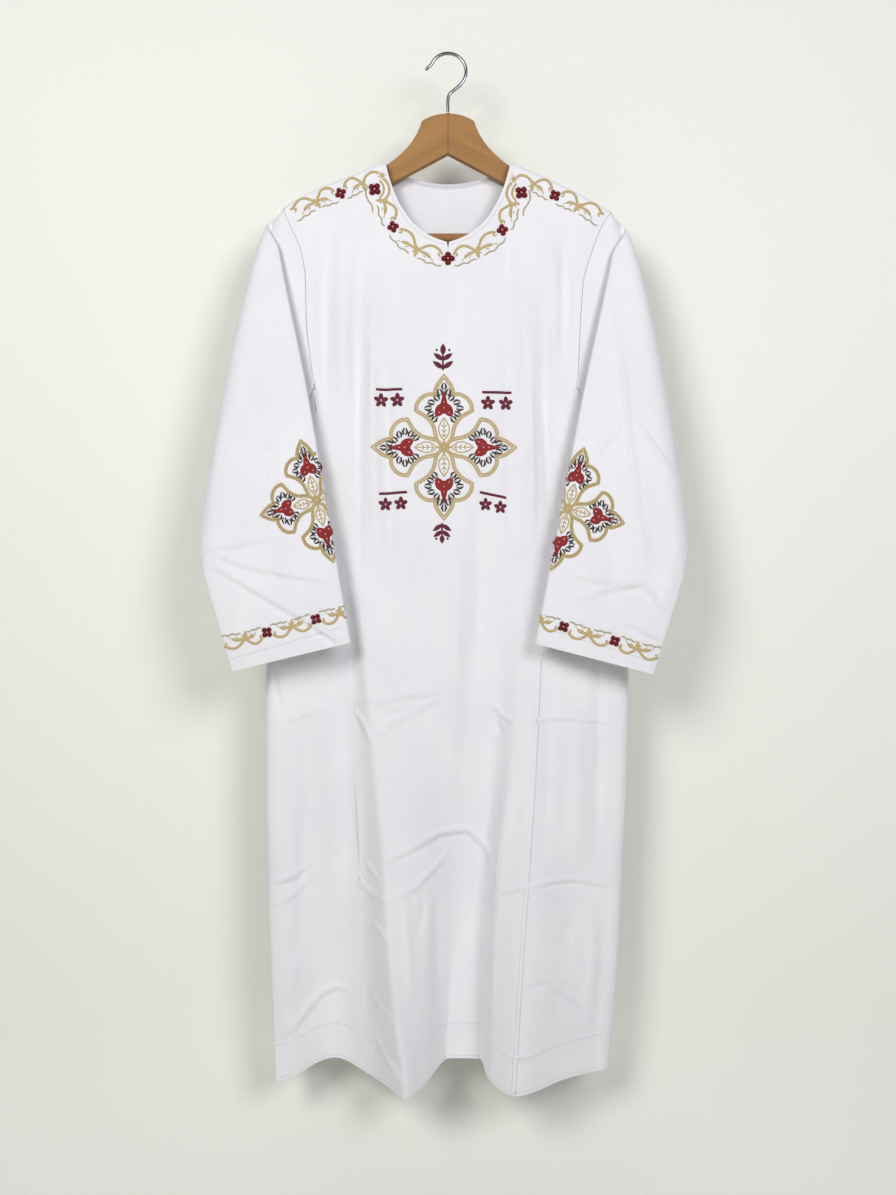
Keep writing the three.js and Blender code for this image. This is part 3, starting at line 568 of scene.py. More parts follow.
def sleeve_creases(side, x, z, turn, layer):
    """Creases of the folded layer that faces forward."""
    shown = smooth((turn / np.pi - CREASED_FROM) / 0.2)
    table = LEFT_SLEEVE_CREASES if side < 0 else RIGHT_SLEEVE_CREASES
    return np.where(layer < 0, shown * wrinkles(table, x, z), 0)


# ---- meshes ----
FACING, TURNED = [0, 1, 2, 3], [0, 3, 2, 1]  # the order of a quad's corners


def grid_normals(points, closed):
    if closed:
        across = np.roll(points, -1, 1) - np.roll(points, 1, 1)
    else:
        across = np.gradient(points, axis=1)
    normal = np.cross(np.gradient(points, axis=0), across)
    return normal / np.maximum(1e-9, np.linalg.norm(normal, axis=2, keepdims=True))


def grid_faces(rows, columns, closed=True, start=0):
    """The quads of a grid of vertices that begin at start; in a closed grid each row is a ring."""
    r, c = np.indices((rows - 1, columns if closed else columns - 1)).reshape(2, -1)
    at = lambda row, column: start + row * columns + column % columns
    return np.stack([at(r, c), at(r + 1, c), at(r + 1, c + 1), at(r, c + 1)], 1)


def cloth_shell(name, points, thickness, closed=False):
    """A thin closed shell under a grid of outer points (rows, columns, xyz), in millimetres."""
    rows, columns = points.shape[:2]
    count = rows * columns
    inner = points - grid_normals(points, closed) * thickness
    vertices = np.concatenate([points.reshape(-1, 3), inner.reshape(-1, 3)]) * MM
    outside = grid_faces(rows, columns, closed)
    faces = [outside, outside[:, TURNED] + count]
    index = np.arange(count).reshape(rows, columns)
    if closed:
        index = np.concatenate([index, index[:, :1]], 1)
    rims = [(index[0], FACING), (index[-1], TURNED)]
    if not closed:
        rims += [(index[:, 0], TURNED), (index[:, -1], FACING)]
    for line, order in rims:
        a, b = line[:-1], line[1:]
        faces.append(np.stack([a, b, b + count, a + count], 1)[:, order])
    piece = mesh_piece(name, vertices, np.concatenate(faces))
    sharpen_rims(piece.data, 2 * len(outside))
    return piece


def sharpen_rims(mesh, main_faces):
    """Marks the edges where the shell's rims meet its two faces, so that they shade crisply."""
    edges = read(mesh.loops, "edge_index")
    of_rim = np.arange(len(edges)) >= main_faces * 4
    sharp = np.zeros(len(mesh.edges), bool)
    sharp[np.intersect1d(edges[of_rim], edges[~of_rim])] = True
    mesh.edges.foreach_set("use_edge_sharp", sharp)


def mesh_piece(name, vertices, faces):
    mesh = bpy.data.meshes.new(name)
    mesh.from_pydata([tuple(v) for v in vertices], [], [tuple(map(int, f)) for f in faces])
    mesh.validate()
    mesh.shade_smooth()
    piece = bpy.data.objects.new(name, mesh)
    bpy.context.scene.collection.objects.link(piece)
    return piece


def read(items, key):
    values = np.zeros(len(items), int)
    items.foreach_get(key, values)
    return values


def set_uv(piece, name, uv_of_loops):
    piece.data.uv_layers.new(name=name).data.foreach_set("uv", uv_of_loops.ravel())


def lay_uv(piece, points, closed):
    """UVs in metres along the cloth, the same on the shell's two faces."""
    rows, columns = points.shape[:2]
    wrap = np.concatenate([points, points[:, :1]], 1) if closed else points
    across = np.linalg.norm(np.diff(wrap, axis=1), axis=2)
    across = np.concatenate([np.zeros((rows, 1)), np.cumsum(across, 1)], 1)
    across -= across.mean(1, keepdims=True)
    downwards = np.linalg.norm(np.diff(wrap, axis=0), axis=2)
    downwards = np.concatenate([np.zeros((1, wrap.shape[1])), np.cumsum(downwards, 0)], 0)
    sizes = read(piece.data.polygons, "loop_total")
    owner = np.repeat(np.arange(len(sizes)), sizes)
    vertex = read(piece.data.loops, "vertex_index") % (rows * columns)
    row, column = vertex // columns, vertex % columns
    if closed:
        starts = np.concatenate([[0], np.cumsum(sizes)[:-1]])
        least, most = (reach.reduceat(column, starts) for reach in (np.minimum, np.maximum))
        wraps = (least == 0) & (most == columns - 1)
        column = np.where(wraps[owner] & (column == 0), columns, column)
    set_uv(piece, "cloth", np.stack([across[row, column], downwards[row, column]], 1) * MM)


# ---- the cloth pieces' grids ----
SHOULDER_STEPS = 14
NECK_STEPS = 40
NECK_SPACING = 1.25  # above 1, the neck's columns are closer at the shoulder
SLEEVE_SPACING = 0.75  # how much closer a sleeve's columns are at its edges
SLIT_HALF_WIDTH = 1.4
TOP_ROWS, TOP_DEPTH = 14, 22  # the close rows at the top of a panel, and how far down they reach
HEM_LEVEL = -1320.0  # where the columns' places at the hem are read
GATHER_FROM, GATHER_LENGTH = 270, 330  # below it the columns move onto the fold lines
FRONT_ROWS, BACK_ROWS, SIDE_ROWS, SLEEVE_ROWS = 350, 170, 300, 180
SIDE_STEPS, SLEEVE_STEPS = 28, 60  # columns on each of their two layers


def neck_columns(neck, slit=0.0):
    """For each column of a half panel: its share of the shoulder (or -1), its top x and z."""
    on_shoulder = np.linspace(1, 0, SHOULDER_STEPS, endpoint=False)
    share = np.concatenate([on_shoulder, np.full(NECK_STEPS, -1)])
    neck_x, neck_z = neck(np.linspace(0, 1, NECK_STEPS) ** NECK_SPACING)
    x = np.concatenate([mix(NECK_HALF_WIDTH, SHOULDER_SEAM_X, on_shoulder), neck_x])
    z = np.concatenate([np.full(SHOULDER_STEPS, np.nan), neck_z])
    if slit:
        x[-2], z[-2], z[-1] = SLIT_HALF_WIDTH, z[-1], z[-1] - slit
    return share, x, z


def panel_grid(columns, hem, gather, surface, rows, layer):
    """Rows by columns of outer points: columns start at the shoulders and the neck."""
    share, top_x, top_z = columns
    half = len(share)
    side = np.concatenate([-np.ones(half), np.ones(half - 1)])
    mirror = lambda a: np.concatenate([a, a[-2::-1]])
    share, top_x, top_z = mirror(share), mirror(top_x) * side, mirror(top_z)
    order = np.linspace(0, 1, len(side))
    top_z = np.where(np.isnan(top_z), shoulder_z(top_x), top_z)
    hem_x = gather(order, np.full(order.shape, HEM_LEVEL))
    below = rows - TOP_ROWS
    start = np.concatenate([np.linspace(0, 1, TOP_ROWS) ** 2, np.ones(below)]) * TOP_DEPTH
    run = np.concatenate([np.zeros(TOP_ROWS), np.linspace(0, 1, below + 1)[1:]])
    z = mix(top_z - start[:, None], hem(hem_x), run[:, None])
    seams = [panel_seam(way, z, layer) for way in (-1, 1)]
    if layer < 0:
        seams = [way * (np.abs(seam) - SEAM_GAP) for way, seam in zip((-1, 1), seams)]
    seam = np.where(side < 0, *seams)
    free = np.where(share < 0, top_x, side * mix(NECK_HALF_WIDTH, np.abs(seam), share))
    x = mix(free, gather(order, z), smooth((-z - GATHER_FROM) / GATHER_LENGTH))
    x[:, 0] = seams[0][:, 0] + SEAM_GAP
    x[:, -1] = seams[1][:, -1] - SEAM_GAP
    forward = layer * np.maximum(layer * surface(x, z), SEAM_GAP)
    points = np.stack([x, -forward, z], 2)
    return points if layer > 0 else points[:, ::-1]


def gather_front(order, z):
    """Where the front's columns lie once they hang free: on the fold lines, and evenly between."""
    stops = [0, 3 / 24, 6 / 24, 12 / 24, 14 / 24, 17 / 24, 1]
    names = ["left_crease", "left_face", "valley_left", "valley_right", "right_crease"]
    lines = [seam_x(-1, z), *(fold_line(name, z)[0] for name in names), seam_x(1, z)]
    order = np.broadcast_to(order, np.shape(z))
    x = np.zeros(np.shape(z))
    for (a, b), (left, right) in zip(zip(stops, stops[1:]), zip(lines, lines[1:])):
        inside = (order >= a) & (order <= b)
        x = np.where(inside, mix(left, right, (order - a) / (b - a)), x)
    return x


def gather_back(order, z):
    return (np.broadcast_to(order, np.shape(z)) * 2 - 1) * back_half(z)


def back_hem(x):
    return np.full(np.shape(x), BACK_HEM_Z)


def front_grid():
    columns = neck_columns(front_neck, NECK_SLIT_DEPTH)
    return panel_grid(columns, hem_z, gather_front, front_forward, FRONT_ROWS, 1)


def back_grid():
    columns = neck_columns(back_neck)
    return panel_grid(columns, back_hem, gather_back, back_forward, BACK_ROWS, -1)


def side_grid(side):
    """A side panel, from its front seam round the side edge to its back seam."""
    share = np.sin(np.linspace(0, np.pi / 2, SIDE_STEPS))
    share = np.concatenate([share, share[-2::-1]])
    front = np.arange(len(share)) < SIDE_STEPS
    if side < 0:
        share, front = share[::-1], front[::-1]

    def x_at(z):
        back_seam = side * (back_half(z) + SEAM_GAP)
        seam = np.where(front, seam_x(side, z) + side * SEAM_GAP, back_seam)
        return mix(seam, side_edge(side * np.ones(z.shape), z)[0], share)

    level = np.full((1, len(share)), BACK_HEM_Z)
    edge_hem = hem_z(side_edge(side * np.ones((1, 1)), level[:, :1])[0])
    hem = np.where(front, hem_z(x_at(level)), mix(BACK_HEM_Z, edge_hem, share**2))
    z = mix(ARMPIT_Z - SEAM_GAP, hem, np.linspace(0, 1, SIDE_ROWS)[:, None])
    x = x_at(z)
    return np.stack([x, -np.where(front, front_forward(x, z), back_forward(x, z)), z], 2)


def sleeve_grid(side):
    t = np.linspace(0, 1, SLEEVE_STEPS)
    share = mix(t, (1 - np.cos(np.pi * t)) / 2, SLEEVE_SPACING)
    layer = np.concatenate([np.ones(SLEEVE_STEPS), -np.ones(SLEEVE_STEPS - 2)])
    share = np.concatenate([share, share[-2:0:-1]])
    if side > 0:
        share, layer = share[::-1], layer[::-1]
    k = np.linspace(0, 1, SLEEVE_ROWS)[:, None]
    return np.stack(sleeve_points(side, *np.broadcast_arrays(k, share, layer)), 2)


# ---- shader node groups ----
def feed(tree, node, inputs):
    """Gives each named input its value, or links it to the output of another node."""
    for key, value in inputs.items():
        if isinstance(value, bpy.types.NodeSocket):
            tree.links.new(value, node.inputs[key])
        else:
            node.inputs[key].default_value = value


def put(tree, kind, inputs=None, **settings):
    node = tree.nodes.new(kind)
    for key, value in settings.items():
        setattr(node, key, value)
    feed(tree, node, inputs or {})
    return node


def reckon(tree, operation, a, b=0.0, c=0.0):
    return put(tree, "ShaderNodeMath", {0: a, 1: b, 2: c}, operation=operation).outputs[0]


def noise(tree, vector, scale, detail, roughness=0.5, distortion=0.0):
    inputs = {"Vector": vector, "Scale": scale, "Detail": detail, "Roughness": roughness}
    inputs["Distortion"] = distortion
    return put(tree, "ShaderNodeTexNoise", inputs).outputs["Fac"]


def node_group(name, inputs, outputs, build):
    """A group that is fed a vector and numbers; build returns its outputs in their order."""
    tree = bpy.data.node_groups.get(name)
    if tree:
        return tree
    tree = bpy.data.node_groups.new(name, "ShaderNodeTree")
    tree.interface.new_socket("Vector", in_out="INPUT", socket_type="NodeSocketVector")
    for label, value in inputs.items():
        socket = tree.interface.new_socket(label, in_out="INPUT", socket_type="NodeSocketFloat")
        socket.default_value = value
    for label in outputs:
        tree.interface.new_socket(label, in_out="OUTPUT", socket_type="NodeSocketFloat")
    given, out = tree.nodes.new("NodeGroupInput"), tree.nodes.new("NodeGroupOutput")
    feed(tree, out, dict(zip(outputs, build(tree, given.outputs))))
    return tree


def woven_group():
    """Plain weave of fine threads with a slight unevenness, from coordinates in metres."""
    def build(tree, given):
        vector = given["Vector"]
        split = put(tree, "ShaderNodeSeparateXYZ", {0: vector}).outputs
        waves = []
        for axis in (split["X"], split["Y"]):
            turns = reckon(tree, "DIVIDE", axis, given["Pitch"])
            waves.append(reckon(tree, "SINE", reckon(tree, "MULTIPLY", turns, math.pi * 2)))
        slub = noise(tree, vector, 420.0, 2.0, 0.6)
        height = reckon(tree, "ADD", reckon(tree, "MULTIPLY", *waves), slub)
        rumple = noise(tree, vector, given["Rumple Scale"], 3.0, 0.5, 0.6)
        return height, rumple, noise(tree, vector, 7.0, 4.0, 0.62)

    inputs = {"Pitch": 0.0007, "Rumple Scale": 14.0}
    return node_group("woven_cloth", inputs, ("Weave Height", "Rumple Height", "Shade"), build)


def thread_group():
    """Satin stitches laid side by side; X of the vector runs along the stitched line, in metres.
    Shade is painted shade in the grooves between the stitches, mixed with random tone.
    """
    def build(tree, given):
        split = put(tree, "ShaderNodeSeparateXYZ", {0: given["Vector"]}).outputs
        slanted = reckon(tree, "MULTIPLY_ADD", split["Y"], given["Slant"], split["X"])
        turns = reckon(tree, "MULTIPLY", reckon(tree, "DIVIDE", slanted, given["Pitch"]), math.pi)
        height = reckon(tree, "ABSOLUTE", reckon(tree, "SINE", turns))
        uneven = reckon(tree, "MULTIPLY", noise(tree, given["Vector"], 260.0, 2.0, 0.7), 0.55)
        # Shade: painted shade where the stitch relief is low, in the grooves, plus random
        # unevenness
        return height, reckon(tree, "MULTIPLY_ADD", height, 0.45, uneven)

    return node_group("laid_thread", {"Pitch": 0.0006, "Slant": 0.0008}, ("Height", "Shade"), build)


def grain_group():
    """Straight beech grain with short flecks; X of the vector runs along the grain, in metres."""
    def build(tree, given):
        def stretch(by):
            inputs = {"Vector": given["Vector"], "Scale": (by, 1, 1)}
            return put(tree, "ShaderNodeMapping", inputs).outputs[0]

        rings = noise(tree, stretch(0.05), given["Ring Scale"], 3.0, 0.5, 0.35)
        fine = noise(tree, stretch(0.06), 900.0, 2.0, 0.6)
        cells = put(
            tree, "ShaderNodeTexVoronoi", {"Vector": stretch(0.22), "Scale": 700.0}, feature="F1"
        ).outputs["Distance"]
        flecks = put(
            tree, "ShaderNodeMapRange",
            {"Value": cells, "From Min": 0.12, "From Max": 0.3, "To Min": 1.0, "To Max": 0.0},
        ).outputs[0]
        height = reckon(tree, "SUBTRACT", fine, reckon(tree, "MULTIPLY", flecks, 0.6))
        return rings, flecks, height

    return node_group("beech_grain", {"Ring Scale": 95.0}, ("Rings", "Flecks", "Height"), build)


# ---- finishes ----
def new_finish(name, **constants):
    """A material with a plain shader; constants go on its sockets."""
    material = bpy.data.materials.new(name)
    material.use_nodes = True
    shader = material.node_tree.nodes["Principled BSDF"]
    inputs = {key.replace("_", " "): value for key, value in constants.items()}
    feed(material.node_tree, shader, inputs)
    return material, material.node_tree, shader


def coordinates(tree, kind):
    return put(tree, "ShaderNodeTexCoord").outputs[kind]


def ramp(tree, factor, stops):
    node = put(tree, "ShaderNodeValToRGB", {"Fac": factor})
    elements = node.color_ramp.elements
    while len(elements) < len(stops):
        elements.new(0.5)
    for element, (place, colour) in zip(elements, stops):
        element.position = place
        element.color = (*colour[:3], 1)
    return node.outputs["Color"]


def darker(colour, by):
    return tuple(c * by for c in colour[:3])


def shaded(tree, factor, colour, by, low, high=0.7):
    """The colour, and a darker one where the factor is low."""
    return ramp(tree, factor, [(low, darker(colour, by)), (high, colour)])


def bump(tree, height, distance, strength=1.0, **normal):
    inputs = {"Height": height, "Distance": distance, "Strength": strength, **normal}
    return put(tree, "ShaderNodeBump", inputs).outputs["Normal"]


def cloth_finish(name, settings):
    material, tree, shader = new_finish(
        name, Roughness=0.82, Sheen_Weight=0.12, Sheen_Roughness=0.4, Specular_IOR_Level=0.25
    )
    inputs = {"Vector": coordinates(tree, "UV"), "Pitch": settings.thread_pitch}
    weave = put(tree, "ShaderNodeGroup", inputs, node_tree=woven_group()).outputs
    tone = ramp(tree, weave["Shade"], [(0.3, settings.shade_colour), (0.62, settings.colour)])
    soft = bump(tree, weave["Rumple Height"], 0.0011)
    normal = bump(tree, weave["Weave Height"], 0.00005, 0.6, Normal=soft)
    feed(tree, shader, {"Base Color": tone, "Normal": normal})
    return material


def thread_finish(name, colour, metallic=0.0, roughness=0.5, shade=0.6):
    material, tree, shader = new_finish(
        name, Metallic=metallic, Roughness=roughness, Sheen_Weight=0.15, Specular_IOR_Level=0.45
    )
    inputs = {"Vector": coordinates(tree, "UV")}
    thread = put(tree, "ShaderNodeGroup", inputs, node_tree=thread_group()).outputs
    # painted shade: the thread's colour darkens in the grooves between stitches, and at random
    tone = shaded(tree, thread["Shade"], colour, shade, 0.12)
    feed(tree, shader, {"Base Color": tone, "Normal": bump(tree, thread["Height"], 0.00025, 0.8)})
    return material


def bead_finish(name, colour):
    material, tree, shader = new_finish(
        name, Roughness=0.34, Coat_Weight=0.08, Coat_Roughness=0.1, Specular_IOR_Level=0.2
    )
    uneven = noise(tree, coordinates(tree, "Object"), 600.0, 2.0)
    feed(tree, shader, {"Base Color": shaded(tree, uneven, colour, 0.6, 0.3, 0.75)})
    return material


def wood_finish(name, colour, tilt):
    material, tree, shader = new_finish(
        name, Roughness=0.45, Coat_Weight=0.06, Coat_Roughness=0.3, Specular_IOR_Level=0.15
    )
    along = {"Vector": coordinates(tree, "Object"), "Rotation": (0, tilt, 0)}
    vector = put(tree, "ShaderNodeMapping", along).outputs[0]
    grain = put(tree, "ShaderNodeGroup", {"Vector": vector}, node_tree=grain_group()).outputs
    stops = [(0.34, darker(colour, 0.86)), (0.52, colour), (0.7, darker(colour, 1.08))]
    mixed = {
        "Factor": reckon(tree, "MULTIPLY", grain["Flecks"], 0.45),
        "A": ramp(tree, grain["Rings"], stops),
        "B": (*darker(colour, 0.55), 1),
    }
    flecked = put(tree, "ShaderNodeMix", mixed, data_type="RGBA").outputs["Result"]
    normal = bump(tree, grain["Height"], 0.00012, 0.5)
    feed(tree, shader, {"Base Color": flecked, "Normal": normal})
    return material


def steel_finish(name, colour):
    material, tree, shader = new_finish(name, Metallic=1.0)
    uneven = noise(tree, coordinates(tree, "Object"), 240.0, 3.0)
    feed(tree, shader, {
        "Base Color": shaded(tree, uneven, colour, 0.86, 0.3),
        "Roughness": reckon(tree, "MULTIPLY_ADD", uneven, 0.16, 0.14),
        "Normal": bump(tree, uneven, 0.00006, 0.3),
    })
    return material


def plain_finish(name, colour, roughness=0.9):
    material, tree, shader = new_finish(name, Roughness=roughness, Specular_IOR_Level=0.1)
    uneven = noise(tree, coordinates(tree, "Object"), 2.0, 2.0)
    feed(tree, shader, {"Base Color": shaded(tree, uneven, colour, 0.985, 0.3)})
    return material


def finish_named(name, make, *values):
    return bpy.data.materials.get(name) or make(name, *values)


# ---- settings ----
def colour_setting(name, description, default):
    return bpy.props.FloatVectorProperty(
        name=name, description=description, default=default, subtype="COLOR", size=3, min=0, max=1
    )


def length_setting(name, description, default, least, most, precision=4):
    return bpy.props.FloatProperty(
        name=name, description=description, default=default, min=least, max=most,
        precision=precision, unit="LENGTH",
    )


def power_setting(name, description, default):
    return bpy.props.FloatProperty(
        name=name, description=description, default=default, min=0, unit="POWER"
    )


class TunicCloth(bpy.types.PropertyGroup):
    colour: colour_setting("Cloth", "Colour of the white cloth", (0.86, 0.855, 0.874))
    shade_colour: colour_setting("Cloth Shade", "Its slightly greyer places", (0.815, 0.805, 0.838))
    thread_pitch: length_setting(
        "Thread Pitch", "Distance between the cloth's threads", 0.0007, 0.0003, 0.003
    )
    thickness: length_setting(
        "Thickness", "Thickness of the cloth shells", 0.0008, 0.0003, 0.0013
    )


class TunicEmbroidery(bpy.types.PropertyGroup):
    gold: colour_setting("Gold Thread", "Colour of the gold embroidery", (0.72, 0.56, 0.25))
    pale_gold: colour_setting("Pale Gold Thread", "Colour of the thin waves", (0.62, 0.55, 0.36))
    red: colour_setting("Red Thread", "Colour of the petals in the crosses", (0.34, 0.012, 0.014))
    dark: colour_setting("Dark Thread", "Colour of the dark brown dashes", (0.035, 0.018, 0.016))
    white: colour_setting("White Thread", "Colour of the white florets", (0.88, 0.87, 0.84))
    stitch: colour_setting("Sewing Thread", "Colour of the seams and hems", (0.815, 0.805, 0.838))
    maroon: colour_setting("Maroon Thread", "Colour of sprigs and flowers", (0.15, 0.008, 0.03))
    bead: colour_setting("Beads", "Colour of the flower beads", (0.2, 0.004, 0.013))
    bead_centre: colour_setting("Bead Centres", "Colour of each flower's middle", (0.75, 0.4, 0.38))
    cord_width: length_setting("Cord Width", "Width of the gold cords", 0.0037, 0.001, 0.006)


class TunicHanger(bpy.types.PropertyGroup):
    wood: colour_setting("Beech", "Colour of the varnished beech", (0.39, 0.208, 0.076))
    steel: colour_setting("Steel", "Colour of the hook's wire", (0.4, 0.405, 0.42))
    wire_radius: length_setting("Wire Radius", "Radius of the hook's wire", 0.0022, 0.001, 0.003)


class TunicStudio(bpy.types.PropertyGroup):
    backdrop: colour_setting("Backdrop", "Colour of the wall and the floor", (0.895, 0.905, 0.83))
    camera_distance: length_setting(
        "Camera Distance", "Distance from the camera to the hanger", 1.4, 0.8, 4.0, 2
    )
    camera_height: length_setting(
        "Camera Height", "Height of the camera against the hook's rest", -0.708, -2.0, 0.5, 2
    )
    wall_distance: length_setting(
        "Wall Distance", "Distance from the hanger back to the wall", 0.08, 0.06, 1.0, 2
    )
    key_power: power_setting("Key Light", "Power of the main soft light", 25.0)
    fill_power: power_setting("Fill Light", "Power of the second soft light", 22.0)
    room_light: bpy.props.FloatProperty(
        name="Room Light", description="Strength of the light from all round", default=0.14, min=0
    )


# ---- cloth and hanger ----
CLOTH_GRIDS = {}
SEWN_ON = {}
WOOD_TILTS = {"hanger_arm_left": 0.47, "hanger_arm_right": -0.47, "trouser_bar": 0.0}
GLUE_LINE = [(-79.2, 4.6), (-80.2, 5.1), (-104, 5.2), (-128.4, 5.1), (-129.4, 4.6)]  # z, half depth
GLUE_HALF_WIDTH = 0.1
GLUE_COLOUR = (0.11, 0.06, 0.03)
HOOK_END = (-29.5, -19.5)
HOOK_LOOP_RADIUS, HOOK_LOOP_ANGLES = 23.5, (157, -20)
HOOK_LINE = [(17, -38), (9, -45), (2, -51), (0, -58), (0, -77.6)]
WIRE_RADIUS = 2.2
WIRE_SIDES = 20
HOOK_TIP = (0.45, 0.9)  # shares of the wire's radius at its rounded end


def dress(piece, slot, *materials):
    """Gives a piece its materials and its body; the slot is not used."""
    for material in materials:
        piece.data.materials.append(material)
    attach(piece, BODY)
    return piece


def white_cloth():
    return finish_named("white_cloth", cloth_finish, bpy.context.scene.tunic_cloth)


def cloth_piece(name, points, node, closed=False):
    """One cut of the tunic: a thin shell on its form."""
    thickness = bpy.context.scene.tunic_cloth.thickness / MM
    piece = cloth_shell(name, points, thickness, closed)
    lay_uv(piece, points, closed)
    CLOTH_GRIDS[name] = points, closed
    dress(piece, "cloth", white_cloth())
    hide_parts(node)


def sewn_on(cloth, piece):
    SEWN_ON.setdefault(cloth, []).append(piece)


class TunicOperator(bpy.types.Operator):
    bl_options = {"REGISTER", "UNDO"}

    def execute(self, context):
        self.make(context.scene)
        return {"FINISHED"}


class TUNIC_OT_front_panel(TunicOperator):
    """Hangs the front panel between its two seams"""
    bl_idname = "tunic.front_panel"
    bl_label = "Front Panel"

    def make(self, scene):
        cloth_piece("front_cloth", front_grid(), "front_panel")


class TUNIC_OT_back_panel(TunicOperator):
    """Hangs the back panel from the neck to the hem"""
    bl_idname = "tunic.back_panel"
    bl_label = "Back Panel"

    def make(self, scene):
        cloth_piece("back_cloth", back_grid(), "back_panel")


class TUNIC_OT_side_panels(TunicOperator):
    """Hangs the two side gores under the armpits"""
    bl_idname = "tunic.side_panels"
    bl_label = "Side Panels"

    def make(self, scene):
        for side, word in SIDES:
            cloth_piece(f"side_cloth_{word}", side_grid(side), f"side_panel_{word}")


class TUNIC_OT_sleeves(TunicOperator):
    """Hangs the two sleeves, folded forward at the shoulders"""
    bl_idname = "tunic.sleeves"
    bl_label = "Sleeves"

    def make(self, scene):
        for side, word in SIDES:
            cloth_piece(f"sleeve_cloth_{word}", sleeve_grid(side), f"sleeve_{word}", True)


def catmull(points, per_span=8):
    """A smooth curve through the points (centripetal)."""
    p = [np.array(a, float) for a in points]
    p = [2 * p[0] - p[1], *p, 2 * p[-1] - p[-2]]
    out = []
    for a, b, c, d in zip(p, p[1:], p[2:], p[3:]):
        t = np.cumsum([0] + [np.linalg.norm(q - o) ** 0.5 for o, q in ((a, b), (b, c), (c, d))])
        for u in np.linspace(t[1], t[2], per_span, endpoint=False):
            def blend(o, q, lo, hi):
                span = t[hi] - t[lo]
                return o * (t[hi] - u) / span + q * (u - t[lo]) / span

            ab, bc, cd = blend(a, b, 0, 1), blend(b, c, 1, 2), blend(c, d, 2, 3)
            out.append(blend(blend(ab, bc, 0, 2), blend(bc, cd, 1, 3), 1, 2))
    return np.array(out + [p[-2]])


class TUNIC_OT_hanger(TunicOperator):
    """Gives the hanger's arms and bar their beech grain and bends the steel hook"""
    bl_idname = "tunic.hanger"
    bl_label = "Hanger"

    def make(self, scene):
        settings = scene.tunic_hanger
        for node, tilt in WOOD_TILTS.items():
            wood = wood_finish(node + "_beech", settings.wood, tilt)
            for slot in bpy.data.objects[node].material_slots:
                slot.material = wood
        self.glue_line()
        self.hook(settings)

    def glue_line(self):
        """The thin dark joint where the two arms are glued together."""
        corners = [(way * GLUE_HALF_WIDTH, y) for way, y in ((-1, -1), (1, -1), (1, 1), (-1, 1))]
        vertices = [(x * MM, y * deep * MM, z * MM) for z, deep in GLUE_LINE for x, y in corners]
        faces = [tuple(f) for f in grid_faces(len(GLUE_LINE), 4)[:, TURNED]]
        last = len(vertices) - 4
        faces += [(3, 2, 1, 0), (last, last + 1, last + 2, last + 3)]
        piece = mesh_piece("mitre_glue_line", vertices, faces)
        dress(piece, "wood", plain_finish("wood_glue", GLUE_COLOUR, 0.6))

    def hook(self, settings):
        """The bent wire, as a tube of rings along its middle line."""
        angles = np.radians(np.linspace(*HOOK_LOOP_ANGLES, 15))
        middle = WIRE_RADIUS - HOOK_LOOP_RADIUS
        loop = HOOK_LOOP_RADIUS * np.stack([np.cos(angles), np.sin(angles)], 1) + [0, middle]
        line = catmull([HOOK_END, *loop, *HOOK_LINE])
        tangent = np.gradient(line, axis=0)
        tangent /= np.linalg.norm(tangent, axis=1, keepdims=True)
        turn = np.linspace(0, 2 * math.pi, WIRE_SIDES, endpoint=False)
        radius = settings.wire_radius / MM * np.ones((len(line), 1))
        radius[:2, 0] *= HOOK_TIP
        x = line[:, :1] - tangent[:, 1:] * radius * np.cos(turn)
        z = line[:, 1:] + tangent[:, :1] * radius * np.cos(turn)
        vertices = np.stack([x, radius * np.sin(turn), z], 2).reshape(-1, 3) * MM
        faces = [tuple(f) for f in grid_faces(len(line), WIRE_SIDES)]
        last = len(vertices) - 1
        faces += [tuple(range(WIRE_SIDES)), tuple(range(last, last - WIRE_SIDES, -1))]
        piece = mesh_piece("steel_hook", vertices, faces)
        dress(piece, "wire", steel_finish("polished_steel", settings.steel))
        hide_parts("hook")


# ---- embroidery ----
STEP = 2.4
STITCH_HEIGHT = 0.9
# A stitched line's section: shares of its width, and of its height above the cloth.
STITCH_PROFILE = ((-0.5, -0.25), (-0.36, 0.72), (0, 1), (0.36, 0.72), (0.5, -0.25))
ROOT_DEPTH = 0.3  # how far a dome reaches into the cloth
AFAR = 400  # a start for rays, well outside the cloth
THREADS = ("gold", "pale_gold", "red", "dark", "white", "stitch", "maroon", "bead", "bead_centre")
# the darkest shade is painted shade in the grooves between the stitches
THREAD_LOOKS = {  # metallic, roughness, darkest shade
    "gold": (0.12, 0.42, 0.5),
    "pale_gold": (0.12, 0.42, 0.5),
    "stitch": (0.0, 0.7, 0.9),
}


class Surface:
    """The outside of a cloth piece, or its inside, met from the front or from behind."""

    def __init__(self, name, behind=False, inside=False):
        points, closed = CLOTH_GRIDS[name]
        self.lift = bpy.context.scene.tunic_cloth.thickness / MM if inside else 0.0
        self.outward = -1 if inside else 1
        self.away = 1.0 if behind else -1.0
        self.faces = grid_faces(*points.shape[:2], closed).tolist()
        self.tree = BVHTree.FromPolygons([tuple(p) for p in points.reshape(-1, 3)], self.faces)
        self.normals = grid_normals(points, closed).reshape(-1, 3)

    def meet(self, x, z):
        """The point and the normal at (x, z), or None where the piece doesn't reach."""
        start, way = Vector((x, AFAR * self.away, z)), Vector((0, -self.away, 0))
        hit, _, index, _ = self.tree.ray_cast(start, way)
        if hit is None:
            return None
        normal = Vector(self.normals[self.faces[index]].mean(0)) * self.outward
        if normal.y * self.away <= 0:
            return None
        normal.normalize()
        return hit + normal * self.lift, normal


